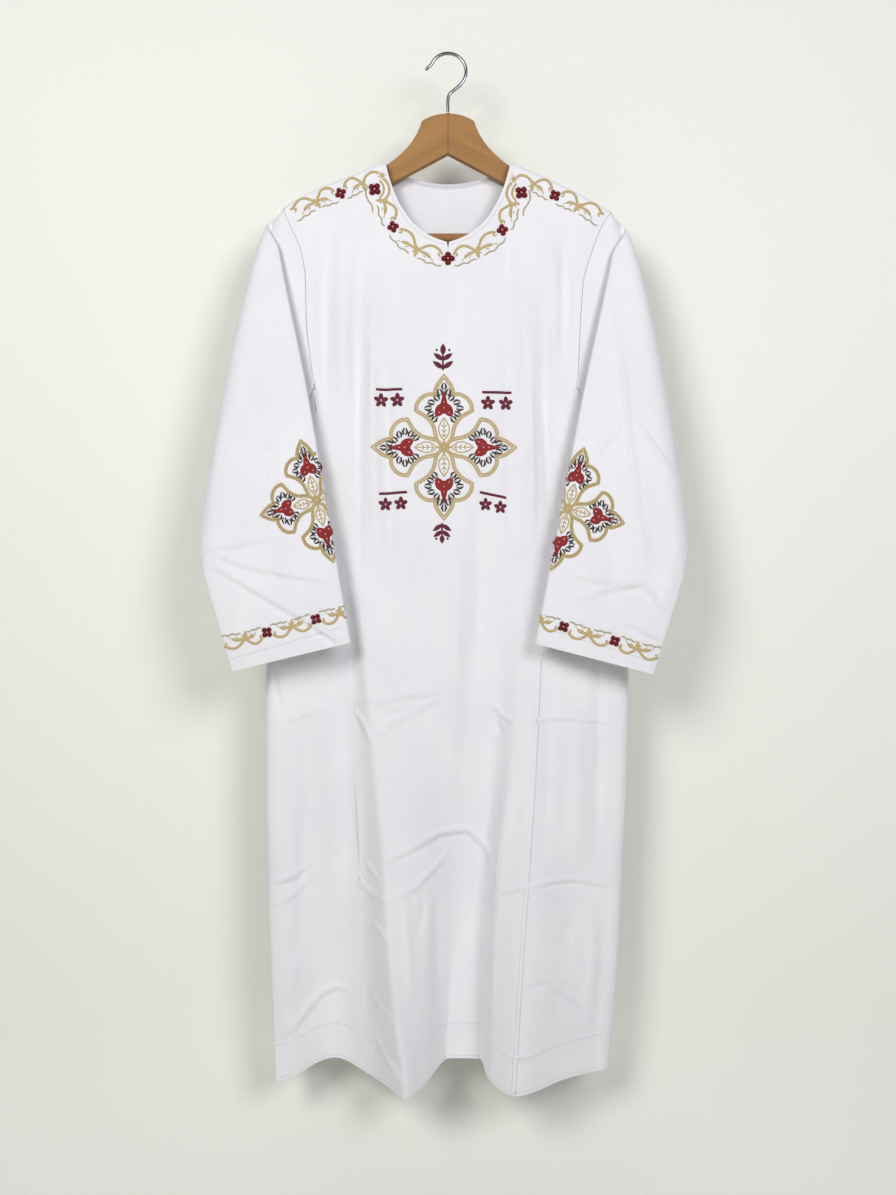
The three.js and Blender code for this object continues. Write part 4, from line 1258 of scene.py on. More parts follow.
class Needlework:
    """Collects raised stitches of several threads for one embroidered piece."""

    def __init__(self, surface, place=lambda x, z: (x, z)):
        self.surface, self.place = surface, place
        self.vertices, self.faces, self.uvs, self.kinds = [], [], [], []

    def line(self, path, width, thread, height=STITCH_HEIGHT, taper=0.35, step=STEP):
        """A stitched line along a path of (x, z); width is a number, or a list from end to end."""
        path = np.asarray(path, float)
        reach = reach_along(path)
        count = max(3, int(round(reach[-1] / step)) + 1)
        at = np.linspace(0, reach[-1], count)
        points = np.stack([np.interp(at, reach, path[:, 0]), np.interp(at, reach, path[:, 1])], 1)
        if np.ndim(width):
            widths = np.interp(at / reach[-1], np.linspace(0, 1, len(width)), width)
        else:
            widths = np.full(count, float(width))
        if taper:
            ends = np.clip(np.minimum(at, reach[-1] - at) / max(0.6, widths.max() * 0.5), 0, 1)
            widths = widths * (taper + (1 - taper) * np.sqrt(ends))
        run = []
        for (u, v), w, s in zip(points, widths, at):
            found = self.surface.meet(*self.place(u, v))
            if found:
                run.append((*found, w, s))
            else:
                self.raise_run(run, thread, height)
                run = []
        self.raise_run(run, thread, height)

    def raise_run(self, run, thread, height):
        if len(run) < 2:
            return
        start, size = len(self.vertices), len(STITCH_PROFILE)
        for i, (point, normal, width, at) in enumerate(run):
            along = run[min(i + 1, len(run) - 1)][0] - run[max(i - 1, 0)][0]
            if along.length < 1e-6:
                along = Vector((1, 0, 0))
            across = normal.cross(along).normalized()
            rise = min(height, 0.2 + width * 0.4)
            for off, up in STITCH_PROFILE:
                self.vertices.append(point + across * (off * width) + normal * (up * rise))
                self.uvs.append((at * MM, off * width * MM))
        self.rings(start, len(run), size, thread)
        self.add(range(start + size - 1, start - 1, -1), thread)
        last = start + (len(run) - 1) * size
        self.add(range(last, last + size), thread)

    def add(self, face, thread):
        self.faces.append(tuple(face))
        self.kinds.append(THREADS.index(thread))

    def rings(self, start, rows, columns, thread):
        for face in grid_faces(rows, columns, start=start)[:, TURNED].tolist():
            self.add(face, thread)

    def dome(self, x, z, radius, thread, height=None, sides=10, rings=3):
        """A round bead, or a knot of thread, that sits on the cloth."""
        found = self.surface.meet(*self.place(x, z))
        if found is None:
            return
        point, normal = found
        side = normal.cross(Vector((0, 0, 1))).normalized()
        up = side.cross(normal)
        height = height or radius * 0.9
        start = len(self.vertices)
        for ring in range(rings):
            lift = math.sin(math.pi / 2 * ring / rings) * height - (0 if ring else ROOT_DEPTH)
            wide = math.cos(math.pi / 2 * ring / rings) * radius
            for k in range(sides):
                angle = 2 * math.pi * k / sides
                offset = side * math.cos(angle) * wide + up * math.sin(angle) * wide
                self.vertices.append(point + offset + normal * lift)
                self.uvs.append((math.cos(angle) * wide * MM, math.sin(angle) * wide * MM))
        self.vertices.append(point + normal * height)
        self.uvs.append((0, 0))
        self.rings(start, rings, sides, thread)
        last = start + (rings - 1) * sides
        for k in range(sides):
            self.add((last + k, last + (k + 1) % sides, last + sides), thread)
        self.add(range(start + sides - 1, start - 1, -1), thread)

    def leaf(self, x, z, angle, length, width, thread, height=STITCH_HEIGHT):
        """A satin-stitched leaf from (x, z) in a direction."""
        tip = (x + length * math.cos(angle), z + length * math.sin(angle))
        widths = [width * 0.25, width * 0.85, width, width * 0.7, 0.3]
        self.line([(x, z), tip], widths, thread, height, taper=0, step=length / 5)

    def sew(self, cloth, name):
        """Makes the piece of all the stitches, sewn on its cloth."""
        piece = mesh_piece(name, np.array([tuple(v) for v in self.vertices]) * MM, self.faces)
        set_uv(piece, "stitches", np.array(self.uvs)[read(piece.data.loops, "vertex_index")])
        used = sorted(set(self.kinds))
        dress(piece, "cloth", *(thread_material(THREADS[k]) for k in used))
        piece.data.polygons.foreach_set("material_index", [used.index(k) for k in self.kinds])
        sewn_on(cloth, piece)


def thread_material(thread):
    colour = tuple(getattr(bpy.context.scene.tunic_embroidery, thread))
    if thread.startswith("bead"):
        return finish_named(thread + "_glass", bead_finish, colour)
    return finish_named(thread + "_thread", thread_finish, colour, *THREAD_LOOKS.get(thread, ()))


# The crosses, cuffs and sprigs are laid out on a flat drawing, which is looked at from the front.
DRAWING_UNIT = 1.305
DRAWING_CENTRE = (448, 597.5)
DRAWING_CENTRE_Z = -708
DRAWING_DISTANCE = 1400


def seen(across, down_by, forward):
    """Where a place of the drawing lies on cloth that hangs so far forward."""
    scale = DRAWING_UNIT * (DRAWING_DISTANCE - forward) / DRAWING_DISTANCE
    x, y = DRAWING_CENTRE
    return (across - x) * scale, DRAWING_CENTRE_Z + (y - down_by) * scale


def cord_width():
    return bpy.context.scene.tunic_embroidery.cord_width / MM


def bead_flower(work, x, z, turn=0.0, size=1.0, beads=4):
    """A ring of glossy beads round a paler one, on a few white stitches."""
    angles = [turn + 2 * math.pi * k / beads for k in range(beads)]
    for angle in angles:
        work.leaf(x, z, angle + math.pi / beads, 7.4 * size, 2.0 * size, "white", 0.5)
    for angle in angles:
        bead = (x + 4.4 * size * math.cos(angle), z + 4.4 * size * math.sin(angle))
        work.dome(*bead, 3.5 * size, "bead")
    work.dome(x, z, 1.5 * size, "bead_centre", 2.6 * size, 8, 2)


class Strip:
    """A border's own coordinates: along a smooth line, and up from it."""

    def __init__(self, points, upward):
        self.points = catmull(points, 10)
        self.reach = reach_along(self.points)
        self.length = self.reach[-1]
        self.upward = upward

    def at(self, along, up):
        place = lambda s: np.array([np.interp(s, self.reach, self.points[:, i]) for i in (0, 1)])
        inside = min(max(along, 0), self.length)
        beyond = along - inside
        tangent = place(min(inside + 2, self.length)) - place(max(inside - 2, 0))
        tangent /= np.linalg.norm(tangent)
        normal = np.array((-tangent[1], tangent[0])) * self.upward
        return place(inside) + tangent * beyond + normal * up

    def curve(self, pairs):
        return catmull([self.at(*pair) for pair in pairs])


# A half unit of the border; each point is a share of its length and a height over its line.
FLOWER_ROOM = 5.5
SCROLL_HEAD = [(0.04, 4.0), (0.16, 9.0)]
TENDRIL_HEAD = [(-0.02, 7.5), (0.1, 7), (0.22, 9.5)]
SCROLL_ARC = [(0.4, 12.5), (0.62, 11.5), (0.84, 5.5), (1.0, -1)]
SCROLL_HOOK = [(0.1, 1.0), (0.2, 4.2), (0.08, 6.0)]
SCROLL_TWIG = [(0.99, 0), (0.74, 0.6), (0.55, -0.8), (0.42, -3.6)]
SCROLL_WAVE = [(0.86, -9.5), (0.66, -8.4), (0.5, -10.8), (0.34, -9.0), (0.16, -11.2), (0.0, -10.0)]
SCROLL_LEAVES = [(0.6, -5.2), (0.3, -6.4)]
FINE = 0.62  # the pale waves' share of the cord's width


def scroll(work, strip, flower_at, knot_at, size=1.0, tendril=False):
    """An arc from a flower (or a free tendril) down to a knot, with a hook, a twig and a wave."""
    width = cord_width()
    way = 1 if knot_at > flower_at else -1
    start = flower_at + way * (0 if tendril else FLOWER_ROOM)
    reach = abs(knot_at - start)
    place = lambda share, up: (start + way * reach * share, up * size)
    curve = lambda pairs: strip.curve([place(*pair) for pair in pairs])
    work.line(curve((TENDRIL_HEAD if tendril else SCROLL_HEAD) + SCROLL_ARC), width, "gold")
    work.line(curve(SCROLL_HOOK), width * 0.7, "gold")
    work.line(curve(SCROLL_TWIG), [width, width, width * 1.35, width * 0.8], "gold")
    work.line(curve(SCROLL_WAVE), width * FINE, "pale_gold")
    for share, up in SCROLL_LEAVES:
        spot = strip.at(*place(share, up))
        heading = strip.at(*place(share + 0.05, up + 1.2)) - spot
        angle = math.atan2(heading[1], heading[0])
        work.leaf(*spot, angle, 5.0 * size, 1.5 * size, "pale_gold", 0.5)


def knot(work, strip, at, size=1.0, slant=2.0):
    width = cord_width()
    bar = [(at - slant, 5.0 * size), (at, -1.5 * size), (at + slant, -9.5 * size)]
    work.line(strip.curve(bar), [width * 0.9, width * 1.2, width * 1.1, width], "gold")
    bow = [(at - 4, -4.5 * size), (at, -3 * size), (at + 4, -4.5 * size)]
    work.line(strip.curve(bow), width * 0.8, "gold")


def border_unit(work, strip, flower, knots, slants, end, turn, tendril=False):
    """A flower between two knots, and the next half unit, which begins at the end."""
    for at in knots:
        scroll(work, strip, flower, at)
    scroll(work, strip, end, knots[-1], tendril=tendril)
    for at, slant in zip(knots, slants):
        knot(work, strip, at, slant=slant)
    bead_flower(work, *strip.at(flower, -1.0), turn)


SHOULDER_BORDER = (96, 118, 140, 163, 186, 207)
SHOULDER_BORDER_DROP = 21.0
NECK_BORDER = [
    (84, -192), (79.5, -211), (70, -230), (56, -249), (37, -262.5), (16, -270), (0, -272.5),
]
RIGHT_DROP, RIGHT_DROP_FROM, RIGHT_DROP_OVER = 4.5, 40, 44  # the right shoulder slopes more
CORNER_FLOWER, CORNER_STAR = (94.5, -182), (85.0, -164.5)
CORNER_CORDS = [  # points, share of the cord's width, thread
    ([(109, -174), (107, -166.5), (101, -161), (94, -159.5), (88, -162)], 1, "gold"),
    ([(83, -168), (77.5, -175), (75.5, -184), (78, -191.5), (83.5, -197)], 1, "gold"),
    ([(88.5, -170), (83.5, -177), (83, -186), (88, -193)], 0.8, "gold"),
    ([(104, -178), (106, -187), (103, -196), (98, -203), (97, -212)], FINE, "pale_gold"),
]


class TUNIC_OT_neck_border(TunicOperator):
    """Embroiders the scroll-and-flower border round the neck and along both shoulders"""
    bl_idname = "tunic.neck_border"
    bl_label = "Neck and Shoulder Border"

    def make(self, scene):
        work = Needlework(Surface("front_cloth"))
        for side, _ in SIDES:
            self.shoulder(work, side)
            self.corner(work, side)
            self.neck(work, side)
        bead_flower(work, 0, NECK_BORDER[-1][1], math.pi / 2, 1.15)
        work.sew("front_cloth", "neck_border")

    def shoulder(self, work, side):
        xs = [side * x for x in SHOULDER_BORDER]
        strip = Strip([(x, float(shoulder_z(x)) - SHOULDER_BORDER_DROP) for x in xs], side)
        border_unit(work, strip, 46.0, (14.0, 79.0), (2.0, -2.0), 113.0, 0.5, tendril=True)

    def corner(self, work, side):
        drop = RIGHT_DROP if side > 0 else 0.0
        at = lambda x, z: (side * x, z - drop)
        for points, share, thread in CORNER_CORDS:
            work.line(catmull([at(*p) for p in points]), cord_width() * share, thread)
        x, z = at(*CORNER_STAR)
        for k in range(8):
            work.leaf(x, z, math.pi * k / 4 + 0.2, 4.4 if k % 2 else 6.4, 1.8, "gold", 0.7)
        work.dome(x, z, 1.5, "gold", 1.1)
        bead_flower(work, *at(*CORNER_FLOWER), 0.9, 1.15)

    def neck(self, work, side):
        drop = RIGHT_DROP if side > 0 else 0.0
        sloped = lambda x: drop * max(0, x - RIGHT_DROP_FROM) / RIGHT_DROP_OVER
        strip = Strip([(side * x, z - sloped(x)) for x, z in NECK_BORDER], -side)
        border_unit(work, strip, 41.0, (4.0, 84.0), (-1.5, 2.0), strip.length - 1, 0.2)


# ---- crosses ----
# One arm of the cross: u runs out from the centre, v to one side. Its corners are sharp.
ARM_NECK = [(3.5, 3.5), (9, 8.6), (17, 11.2), (27, 13.6), (38, 21.5), (47, 36)]
ARM_LOBE = [(47, 36), (56, 34.5), (64, 28), (68, 18.5), (66.8, 11.5)]
ARM_TIP = [(66.8, 11.5), (73, 11.2), (81, 7.6), (91, 0)]
ARM_LEAF = [(9, 0), (16, 5.4), (24, 6.8), (32, 3.8), (38, 0)]
ARM_LINES = (-1.4, 1.4)  # the two cords of the outline, beside its line
FLORETS = [(78, 0), (70.5, 5.4), (63.5, 9.6), (57.5, 16.5), (50, 20.5), (42.5, 17.2), (35.5, 12.4)]
FLORET_MIDDLE = 52  # the florets point away from here


def beside(path, distance):
    """A path moved sideways by a distance."""
    along = np.gradient(path, axis=0)
    along /= np.maximum(1e-9, np.linalg.norm(along, axis=1, keepdims=True))
    return path + np.stack([-along[:, 1], along[:, 0]], 1) * distance


def crossing(a, b, c, d):
    """Where the line through a and b meets the line through c and d."""
    along, other = b - a, d - c
    area = along[0] * other[1] - along[1] * other[0]
    if abs(area) < 1e-6:
        return (b + c) / 2
    return a + along * ((c[0] - a[0]) * other[1] - (c[1] - a[1]) * other[0]) / area


def arm_outline(distance):
    """The arm's whole outline as one line with sharp corners, moved by a distance."""
    half = [catmull(section) for section in (ARM_NECK, ARM_LOBE, ARM_TIP)]
    back = [section[::-1] * [1, -1] for section in reversed(half)]
    moved = [beside(section, distance) for section in half + back]
    path = [moved[0]]
    for before, after in zip(moved, moved[1:]):
        corner = crossing(before[-2], before[-1], after[0], after[1])
        path[-1] = np.concatenate([path[-1][:-1], [corner]])
        path.append(after[1:])
    return np.concatenate(path)


def turned(angle, u=0, v=0):
    """A function from coordinates that are turned by an angle round (u, v)."""
    c, s = math.cos(angle), math.sin(angle)
    return lambda p, q: (u + p * c - q * s, v + p * s + q * c)


def cross_arm(work, turn):
    at = turned(turn)
    line = lambda path, *how, **more: work.line([at(u, v) for u, v in path], *how, **more)
    for distance in ARM_LINES:
        line(arm_outline(distance), 2.5, "gold", taper=0.8, step=2.0)
    for flip in (1, -1):
        line(catmull(ARM_LEAF, 5) * [1, flip], 1.8, "gold", 0.6, taper=0.6, step=2.0)
        for u in (13.5, 19.5, 25.5):
            line([(u, 0), (u + 3.2, flip * 3.8)], [1.0, 1.8, 0.6], "gold", 0.6, taper=0, step=1.8)
        for u, v in FLORETS:
            if flip > 0 or v:
                floret(work, at, u, v * flip)
        petal = [(56, flip * 1.2), (39.5, flip * 9.6)]
        line(petal, [3.5, 11.5, 13.0, 11.0, 3.5], "red", 0.9, taper=0, step=2.0)
        work.dome(*at(44.5, flip * 6.6), 1.5, "bead_centre", 1.7, 8, 2)
    line([(12, 0), (36, 0)], 1.2, "gold", 0.6)
    line([(43, 0), (73, 0)], [8.5, 12.0, 10.5, 7.5, 4.2, 0.8], "red", 1.1, taper=0, step=2.0)
    for u in (50.5, 57.5):
        work.dome(*at(u, 0), 1.5, "bead_centre", 1.9, 8, 2)


def floret(work, at, u, v):
    """A white loop, with a dark dash on each of its sides, that points away from the red petals."""
    out = turned(math.atan2(v, (u - FLORET_MIDDLE) * 0.9), u, v)
    line = lambda path, *how, **more: work.line([at(*out(p, q)) for p, q in path], *how, **more)
    line([(-4.4, 0), (4.2, 0)], [1.4, 3.4, 3.4, 0.8], "white", 0.8, taper=0, step=1.6)
    for way in (-1, 1):
        dash = [(-4.6, way * 1.3), (-0.4, way * 3.1), (4.6, way * 1.0)]
        line(dash, [1.4, 2.8, 1.2], "dark", taper=0, step=1.8)


def cross(work):
    for k in range(4):
        cross_arm(work, math.pi / 2 * k)
    for k in range(8):
        length = 13.5 if k % 2 else 10.5
        c, s = math.cos(math.pi * k / 4), math.sin(math.pi * k / 4)
        ray = [(c * 1.5, s * 1.5), (c * length, s * length)]
        work.line(ray, [2.4, 4.2, 1.6], "gold", 1.1, taper=0, step=2.0)
    work.dome(0, 0, 3.4, "gold", 1.8)


CHEST_CROSS = (-5.1, -515.6)
SLEEVE_CROSSES = {  # the centre on the drawing, and the way to the lower tip
    -1: ((317, 501), (0.262, 0.965)),
    1: ((567.5, 509), (-0.262, 0.965)),
}
SLEEVE_CROSS_SCALE = (0.86, 0.78)
SLEEVE_FORWARD, CUFF_FORWARD, CHEST_FORWARD = 50, 58, 27.0
EDGE_SHARE = 8.0  # from each sleeve cross's middle line to the folded edge
EDGE_REACH = 1.9  # how many times as far the cross is stitched past its middle line


class TUNIC_OT_chest_cross(TunicOperator):
    """Embroiders the cross on the chest"""
    bl_idname = "tunic.chest_cross"
    bl_label = "Chest Cross"

    def make(self, scene):
        x, z = CHEST_CROSS
        work = Needlework(Surface("front_cloth"), lambda u, v: (x + u, z + v))
        cross(work)
        work.sew("front_cloth", "chest_cross")


class TUNIC_OT_sleeve_crosses(TunicOperator):
    """Embroiders a cross over the folded edge of each sleeve"""
    bl_idname = "tunic.sleeve_crosses"
    bl_label = "Sleeve Crosses"

    def make(self, scene):
        along, across = SLEEVE_CROSS_SCALE
        for side, word in SIDES:
            cloth = f"sleeve_cloth_{word}"
            centre, (dx, dz) = SLEEVE_CROSSES[side]
            x, z = seen(*centre, SLEEVE_FORWARD)
            for behind, part in LAYERS:
                sign = -1 if behind else 1

                def place(u, v):
                    p, q = v * along, sign * u * side * across - (2 * EDGE_SHARE if behind else 0)
                    if q < -EDGE_SHARE * EDGE_REACH:
                        return 1e4, 1e4
                    return x - dx * p + side * abs(dz) * q, z + dz * p - abs(dx) * q

                work = Needlework(Surface(cloth, behind), place)
                cross(work)
                work.sew(cloth, f"sleeve_cross_{word}_{part}")


CUFF_SIZE = 0.78
CUFF_BORDERS = {  # the border's line on the drawing, then its flowers and knots along it
    -1: ([(222, 643), (246, 638), (270, 632), (294, 625.5), (318, 619), (347, 611)],
         (59, 122), (31, 91, 152)),
    1: ([(666, 656), (640, 649), (615, 641.5), (590, 634.5), (565, 627.5), (539, 620)],
        (68, 134), (38, 101, 163)),
}


class TUNIC_OT_cuff_borders(TunicOperator):
    """Embroiders the border round each cuff"""
    bl_idname = "tunic.cuff_borders"
    bl_label = "Cuff Borders"

    def make(self, scene):
        for side, word in SIDES:
            cloth = f"sleeve_cloth_{word}"
            line, flowers, knots = CUFF_BORDERS[side]
            strip = Strip([seen(*p, CUFF_FORWARD) for p in line], side)
            for behind, part in LAYERS:
                work = Needlework(Surface(cloth, behind))
                for at in flowers:
                    for end in sorted(knots, key=lambda k: abs(k - at))[:2]:
                        scroll(work, strip, at, end, CUFF_SIZE)
                    bead_flower(work, *strip.at(at, -0.5), at, 0.95)
                scroll(work, strip, knots[0] - 30, knots[0], CUFF_SIZE, tendril=True)
                scroll(work, strip, knots[-1] + 26, knots[-1], CUFF_SIZE)
                for at in knots:
                    knot(work, strip, at, 0.9)
                work.sew(cloth, f"cuff_border_{word}_{part}")


# ---- sprigs and small flowers beside the cross ----
SPRIGS = [((443, 357), 34, 31, 1), ((442, 533), 26, 28, -1)]  # place, height, width, up or down
BARRED_FLOWERS = [  # place, width, bar's length and tilt
    ((389, 397), 42, 34, 0.0), ((497, 400), 46, 38, 0.0), ((393, 501), 40, 36, 0.06),
    ((493, 503), 38, 34, -0.2),
]
BAR_RISE, FLOWER_DROP = 10.5, 3.5


def sprig(work, x, z, height, width, flip):
    """A small leafy sprig: a stem, paired leaves, a bud and two dots."""
    foot = z - flip * height / 2
    up = flip * math.pi / 2
    at = lambda share: foot + flip * height * share
    work.line([(x, foot), (x, at(0.7))], [3.0, 2.6, 2.2], "maroon", 1.0, taper=0.6)
    work.leaf(x, at(0.6), up, height * 0.42, width * 0.27, "maroon", 1.0)
    for share, spread in ((0.08, 0.52), (0.4, 0.48)):
        for side, _ in SIDES:
            angle = up - side * flip * 0.95
            work.leaf(x, at(share), angle, width * spread, width * 0.24, "maroon", 1.0)
    for side, _ in SIDES:
        work.dome(x + side * width * 0.26, at(0.78), 1.7, "maroon", 1.2)


def small_flower(work, x, z, size):
    widths = [size * share for share in (0.12, 0.26, 0.36, 0.34, 0.12)]
    for k in range(5):
        angle = math.pi / 2 + math.pi * k / 2.5
        tip = (x + math.cos(angle) * size * 0.5, z + math.sin(angle) * size * 0.5)
        work.line([(x, z), tip], widths, "maroon", 1.0, taper=0, step=size * 0.1)
    work.dome(x, z, size * 0.12, "bead_centre", 1.5)


def barred_flowers(work, x, z, width, bar, tilt):
    """Two small flowers under a short bar."""
    half = bar / 2
    rise = half * math.tan(tilt)
    ends = [(x - half, z + BAR_RISE - rise), (x + half, z + BAR_RISE + rise)]
    work.line(ends, 3.8, "maroon", 1.0, taper=0.8)
    for side, _ in SIDES:
        low = z - FLOWER_DROP + side * rise * 0.5
        small_flower(work, x + side * width * 0.25, low, min(18.5, width * 0.44))


class TUNIC_OT_sprigs(TunicOperator):
    """Embroiders maroon sprigs and small flowers round the chest cross"""
    bl_idname = "tunic.sprigs"
    bl_label = "Sprigs"

    def make(self, scene):
        work = Needlework(Surface("front_cloth"))
        for draw, table in ((sprig, SPRIGS), (barred_flowers, BARRED_FLOWERS)):
            for spot, *sizes in table:
                draw(work, *seen(*spot, CHEST_FORWARD), *sizes)
        work.sew("front_cloth", "sprigs")


# ---- seams and hems ----
TAPE_DEPTH = 0.22
TAPE_HALF_THICKNESS = 0.12
PRINCESS_TAPE, SHORT_TAPE = 6.0, 5.0  # widths
ARMHOLE_TAPE_LIFT = 1.1
HEM_DEPTH = 46.0
HEM_ROWS = (4.0, HEM_DEPTH)
HEM_REACH = 236
CUFF_ROW = 0.962  # its place along the sleeve
SEWING = (0.9, "stitch", 0.3)  # width, thread and height of a row of machine stitches


def tape(name, points, normals, width):
    """A strip of seam allowance that lies just inside a seam, along points with their normals."""
    across = np.cross(normals, np.gradient(points, axis=0))
    across /= np.maximum(1e-9, np.linalg.norm(across, axis=1, keepdims=True))
    corners = [
        points + across * off * width + normals * (up * TAPE_HALF_THICKNESS - TAPE_DEPTH)
        for off, up in ((-0.5, -1), (0.5, -1), (0.5, 1), (-0.5, 1))
    ]
    rows = len(points)
    faces = [tuple(f) for f in grid_faces(rows, 4)[:, TURNED]]
    faces += [(3, 2, 1, 0), tuple(rows * 4 - 4 + j for j in range(4))]
    piece = mesh_piece(name, np.stack(corners, 1).reshape(-1, 3) * MM, faces)
    lengths = np.linalg.norm(np.diff(points, axis=0), axis=1)
    reach = np.concatenate([[0], np.cumsum(lengths)])
    vertex = read(piece.data.loops, "vertex_index")
    set_uv(piece, "cloth", np.stack([(vertex % 4) * 0.003, reach[vertex // 4] * MM], 1))
    return dress(piece, "cloth", white_cloth())


def unit(vectors):
    return vectors / np.linalg.norm(vectors, axis=1, keepdims=True)


def surface_normals(surface, x, z, facing):
    """Normals of the surface forward(x, z), turned to the front (1) or the back (-1)."""
    dx = (surface(x + 1, z) - surface(x - 1, z)) / 2
    dz = (surface(x, z + 1) - surface(x, z - 1)) / 2
    return unit(np.stack([-dx, -np.ones(x.shape), -dz], 1)) * facing


class TUNIC_OT_seams(TunicOperator):
    """Lays the seam allowances inside the princess, armhole and shoulder seams"""
    bl_idname = "tunic.seams"
    bl_label = "Seams"

    def make(self, scene):
        for side, word in SIDES:
            for part, facing in (("front", 1), ("back", -1)):
                self.princess(side, word, part, facing)
                self.armhole(side, word, part, facing)
            self.shoulder(side, word)

    def princess(self, side, word, part, facing):
        surface = front_forward if facing > 0 else back_forward
        low = float(hem_z(seam_x(side, -1315))) if facing > 0 else BACK_HEM_Z
        z = np.linspace(ARMPIT_Z + 2, low + 2, 150)
        x = panel_seam(side, z, facing)
        points = np.stack([x, -surface(x, z), z], 1)
        normals = surface_normals(surface, x, z, facing)
        sewn_on(f"{part}_cloth", tape(f"{part}_seam_{word}", points, normals, PRINCESS_TAPE))

    def armhole(self, side, word, part, facing):
        x, z, forward = armhole(side, facing, np.linspace(0.03, 0.9, 90))
        normals = np.tile([0.0, -facing, 0.0], (len(x), 1))
        points = np.stack([x, -forward + facing * ARMHOLE_TAPE_LIFT, z], 1)
        name = f"{part}_armhole_seam_{word}"
        sewn_on(f"sleeve_cloth_{word}", tape(name, points, normals, SHORT_TAPE))

    def shoulder(self, side, word):
        x = np.linspace(NECK_HALF_WIDTH + 2, SHOULDER_SEAM_X - 1, 40) * side
        slope = (shoulder_z(x + 1) - shoulder_z(x - 1)) / 2
        level = np.zeros(x.shape)
        normals = unit(np.stack([-slope, level, np.ones(x.shape)], 1))
        points = np.stack([x, level, shoulder_z(x)], 1)
        sewn_on("front_cloth", tape(f"shoulder_seam_{word}", points, normals, SHORT_TAPE))


def edge_path(neck, distance, count=60):
    """The neckline moved into the cloth, from shoulder to shoulder."""
    path = beside(np.stack(neck(np.linspace(0, 1, count)), 1), distance)
    return np.concatenate([path * [-1, 1], path[-2::-1]])


class TUNIC_OT_stitching(TunicOperator):
    """Runs the stitching of the neck edge and of the hems, and turns the back neck's edge in"""
    bl_idname = "tunic.stitching"
    bl_label = "Stitching"

    def make(self, scene):
        self.neck_edges()
        self.hem_rows()
        self.cuff_rows()

    def neck_edges(self):
        work = Needlework(Surface("front_cloth"))
        work.line(edge_path(front_neck, 4.5), *SEWING, step=5)
        work.sew("front_cloth", "front_neck_stitching")
        work = Needlework(Surface("back_cloth", inside=True))
        for distance, width, height in ((2.6, 5.0, 0.6), (6.2, 1.0, 0.4)):
            work.line(edge_path(back_neck, distance), width, "stitch", height, step=4)
        work.sew("back_cloth", "back_neck_hem")

    def hem_rows(self):
        xs = np.linspace(-HEM_REACH, HEM_REACH, 240)
        front, back = ("front", False, hem_z), ("back", True, back_hem)
        for cloth, (part, behind, hem) in (
            ("front_cloth", front), ("back_cloth", back),
            ("side_cloth_left", front), ("side_cloth_right", front),
            ("side_cloth_left", back), ("side_cloth_right", back),
        ):
            work = Needlework(Surface(cloth, behind))
            for up in HEM_ROWS:
                work.line(np.stack([xs, hem(xs) + up], 1), *SEWING, taper=0, step=5)
            work.sew(cloth, f"{cloth}_hem_{part}")

    def cuff_rows(self):
        share = np.linspace(0.04, 0.97, 40)
        for side, word in SIDES:
            cloth = f"sleeve_cloth_{word}"
            for behind, part in LAYERS:
                layer = np.full(share.shape, 1.0 if behind else -1.0)
                x, _, z = sleeve_points(side, np.full(share.shape, CUFF_ROW), share, layer)
                work = Needlework(Surface(cloth, behind))
                work.line(np.stack([x, z], 1), *SEWING, step=5)
                work.sew(cloth, f"{cloth}_cuff_stitching_{part}")


class TUNIC_OT_cuts(TunicOperator):
    """Does nothing; what is sewn on each cloth piece is only collected in SEWN_ON"""
    bl_idname = "tunic.cuts"
    bl_label = "Cuts"

    def make(self, scene):
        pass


# ---- studio ----
FLOOR_Z = -1.62
WALL_TOP = 3.2
FLOOR_FRONT = -4.0
HALF_WIDTH = 3.5
COVE_RADIUS = 0.35
LIGHT_AIM = (0, 0, -0.7)
LIGHT_SIZE = 0.9
LIGHTS = {  # place and colour
    "key": ((-0.95, -1.85, 0.25), (1.0, 0.99, 0.97)),
    "fill": ((1.05, -1.9, 0.15), (0.97, 0.98, 1.0)),
}
ROOM_COLOUR = (0.8, 0.76, 1.0, 1)
LENS, SENSOR_WIDTH = 32.31, 36


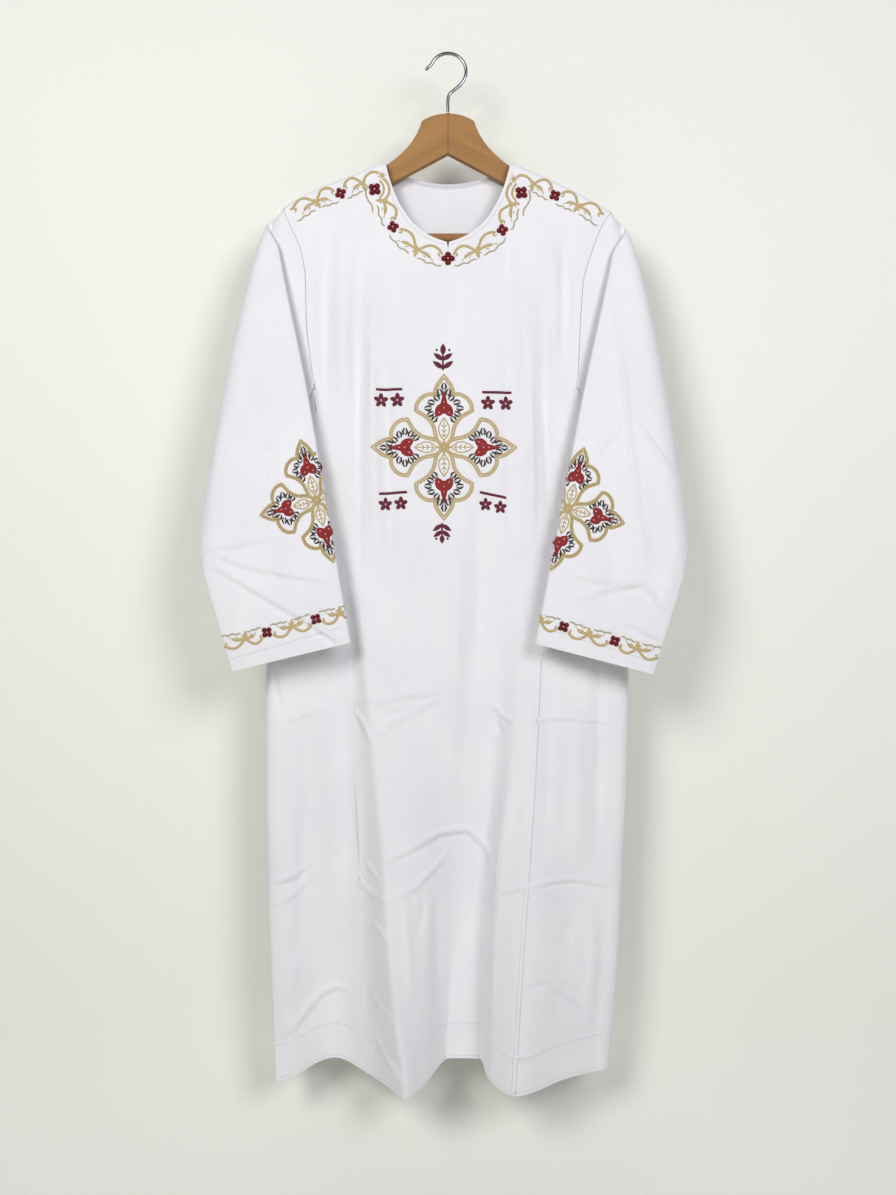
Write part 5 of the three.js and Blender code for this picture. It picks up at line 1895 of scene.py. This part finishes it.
class TUNIC_OT_studio(TunicOperator):
    """Sets the wall, the floor, the soft lights and the camera"""
    bl_idname = "tunic.studio"
    bl_label = "Studio"

    def make(self, scene):
        settings = scene.tunic_studio
        self.backdrop(settings)
        self.lights(scene, settings)
        self.camera(scene, settings)
        scene.view_settings.view_transform = "Standard"

    def backdrop(self, settings):
        wall, foot = settings.wall_distance, FLOOR_Z + COVE_RADIUS
        profile = [(wall, WALL_TOP), (wall, foot)]
        for a in np.radians(np.linspace(0, 90, 17)[1:]):
            out, drop = 1 - math.cos(a), 1 - math.sin(a)
            profile.append((wall - COVE_RADIUS * out, FLOOR_Z + COVE_RADIUS * drop))
        profile.append((FLOOR_FRONT, FLOOR_Z))
        vertices = [(x, y, z) for y, z in profile for x in (-HALF_WIDTH, HALF_WIDTH)]
        faces = grid_faces(len(profile), 2, False)[:, TURNED]
        piece = mesh_piece("studio_backdrop", vertices, faces)
        piece.data.materials.append(plain_finish("backdrop_paint", settings.backdrop))

    def lights(self, scene, settings):
        for name, (place, colour) in LIGHTS.items():
            light = bpy.data.lights.new(f"{name}_light", "AREA")
            light.shape = "DISK"
            light.size = LIGHT_SIZE
            light.energy = getattr(settings, f"{name}_power")
            light.color = colour
            lamp = self.placed(scene, light, place)
            aim = Vector(LIGHT_AIM) - lamp.location
            lamp.rotation_euler = aim.to_track_quat("-Z", "Y").to_euler()
        world = bpy.data.worlds.new("soft_room")
        scene.world = world
        world.use_nodes = True
        background = world.node_tree.nodes["Background"]
        feed(world.node_tree, background, {"Color": ROOM_COLOUR, "Strength": settings.room_light})

    def camera(self, scene, settings):
        data = bpy.data.cameras.new("studio_camera")
        data.sensor_width = SENSOR_WIDTH
        data.sensor_fit = "AUTO"
        data.lens = LENS
        data.dof.use_dof = False
        place = (0, -settings.camera_distance, settings.camera_height)
        camera = self.placed(scene, data, place)
        camera.rotation_euler = (math.radians(90), 0, 0)
        scene.camera = camera

    def placed(self, scene, data, place):
        thing = bpy.data.objects.new(data.name, data)
        scene.collection.objects.link(thing)
        thing.location = place
        return thing


# ---- add-on ----
SETTINGS = {
    "tunic_cloth": TunicCloth,
    "tunic_embroidery": TunicEmbroidery,
    "tunic_hanger": TunicHanger,
    "tunic_studio": TunicStudio,
}
OPERATORS = (
    TUNIC_OT_front_panel,
    TUNIC_OT_back_panel,
    TUNIC_OT_side_panels,
    TUNIC_OT_sleeves,
    TUNIC_OT_hanger,
    TUNIC_OT_neck_border,
    TUNIC_OT_chest_cross,
    TUNIC_OT_sprigs,
    TUNIC_OT_sleeve_crosses,
    TUNIC_OT_cuff_borders,
    TUNIC_OT_seams,
    TUNIC_OT_stitching,
    TUNIC_OT_cuts,
    TUNIC_OT_studio,
)


class TUNIC_PT_sidebar(bpy.types.Panel):
    """Lists the tunic's pieces and their settings"""
    bl_label = "Deacon Tunic"
    bl_idname = "TUNIC_PT_sidebar"
    bl_space_type = "VIEW_3D"
    bl_region_type = "UI"
    bl_category = "Tunic"

    def draw(self, context):
        for key in SETTINGS:
            box = self.layout.box()
            settings = getattr(context.scene, key)
            for prop in settings.bl_rna.properties:
                if prop.identifier not in ("rna_type", "name"):
                    box.prop(settings, prop.identifier)
        for operator in OPERATORS:
            self.layout.operator(operator.bl_idname)


CLASSES = (*SETTINGS.values(), *OPERATORS, TUNIC_PT_sidebar)


def register():
    for cls in CLASSES:
        bpy.utils.register_class(cls)
    for key, cls in SETTINGS.items():
        setattr(bpy.types.Scene, key, bpy.props.PointerProperty(type=cls))


def unregister():
    for key in SETTINGS:
        delattr(bpy.types.Scene, key)
    for cls in reversed(CLASSES):
        bpy.utils.unregister_class(cls)


def main():
    register()
    for operator in OPERATORS:
        family, name = operator.bl_idname.split(".")
        getattr(getattr(bpy.ops, family), name)()


if __name__ == "__main__":
    main()
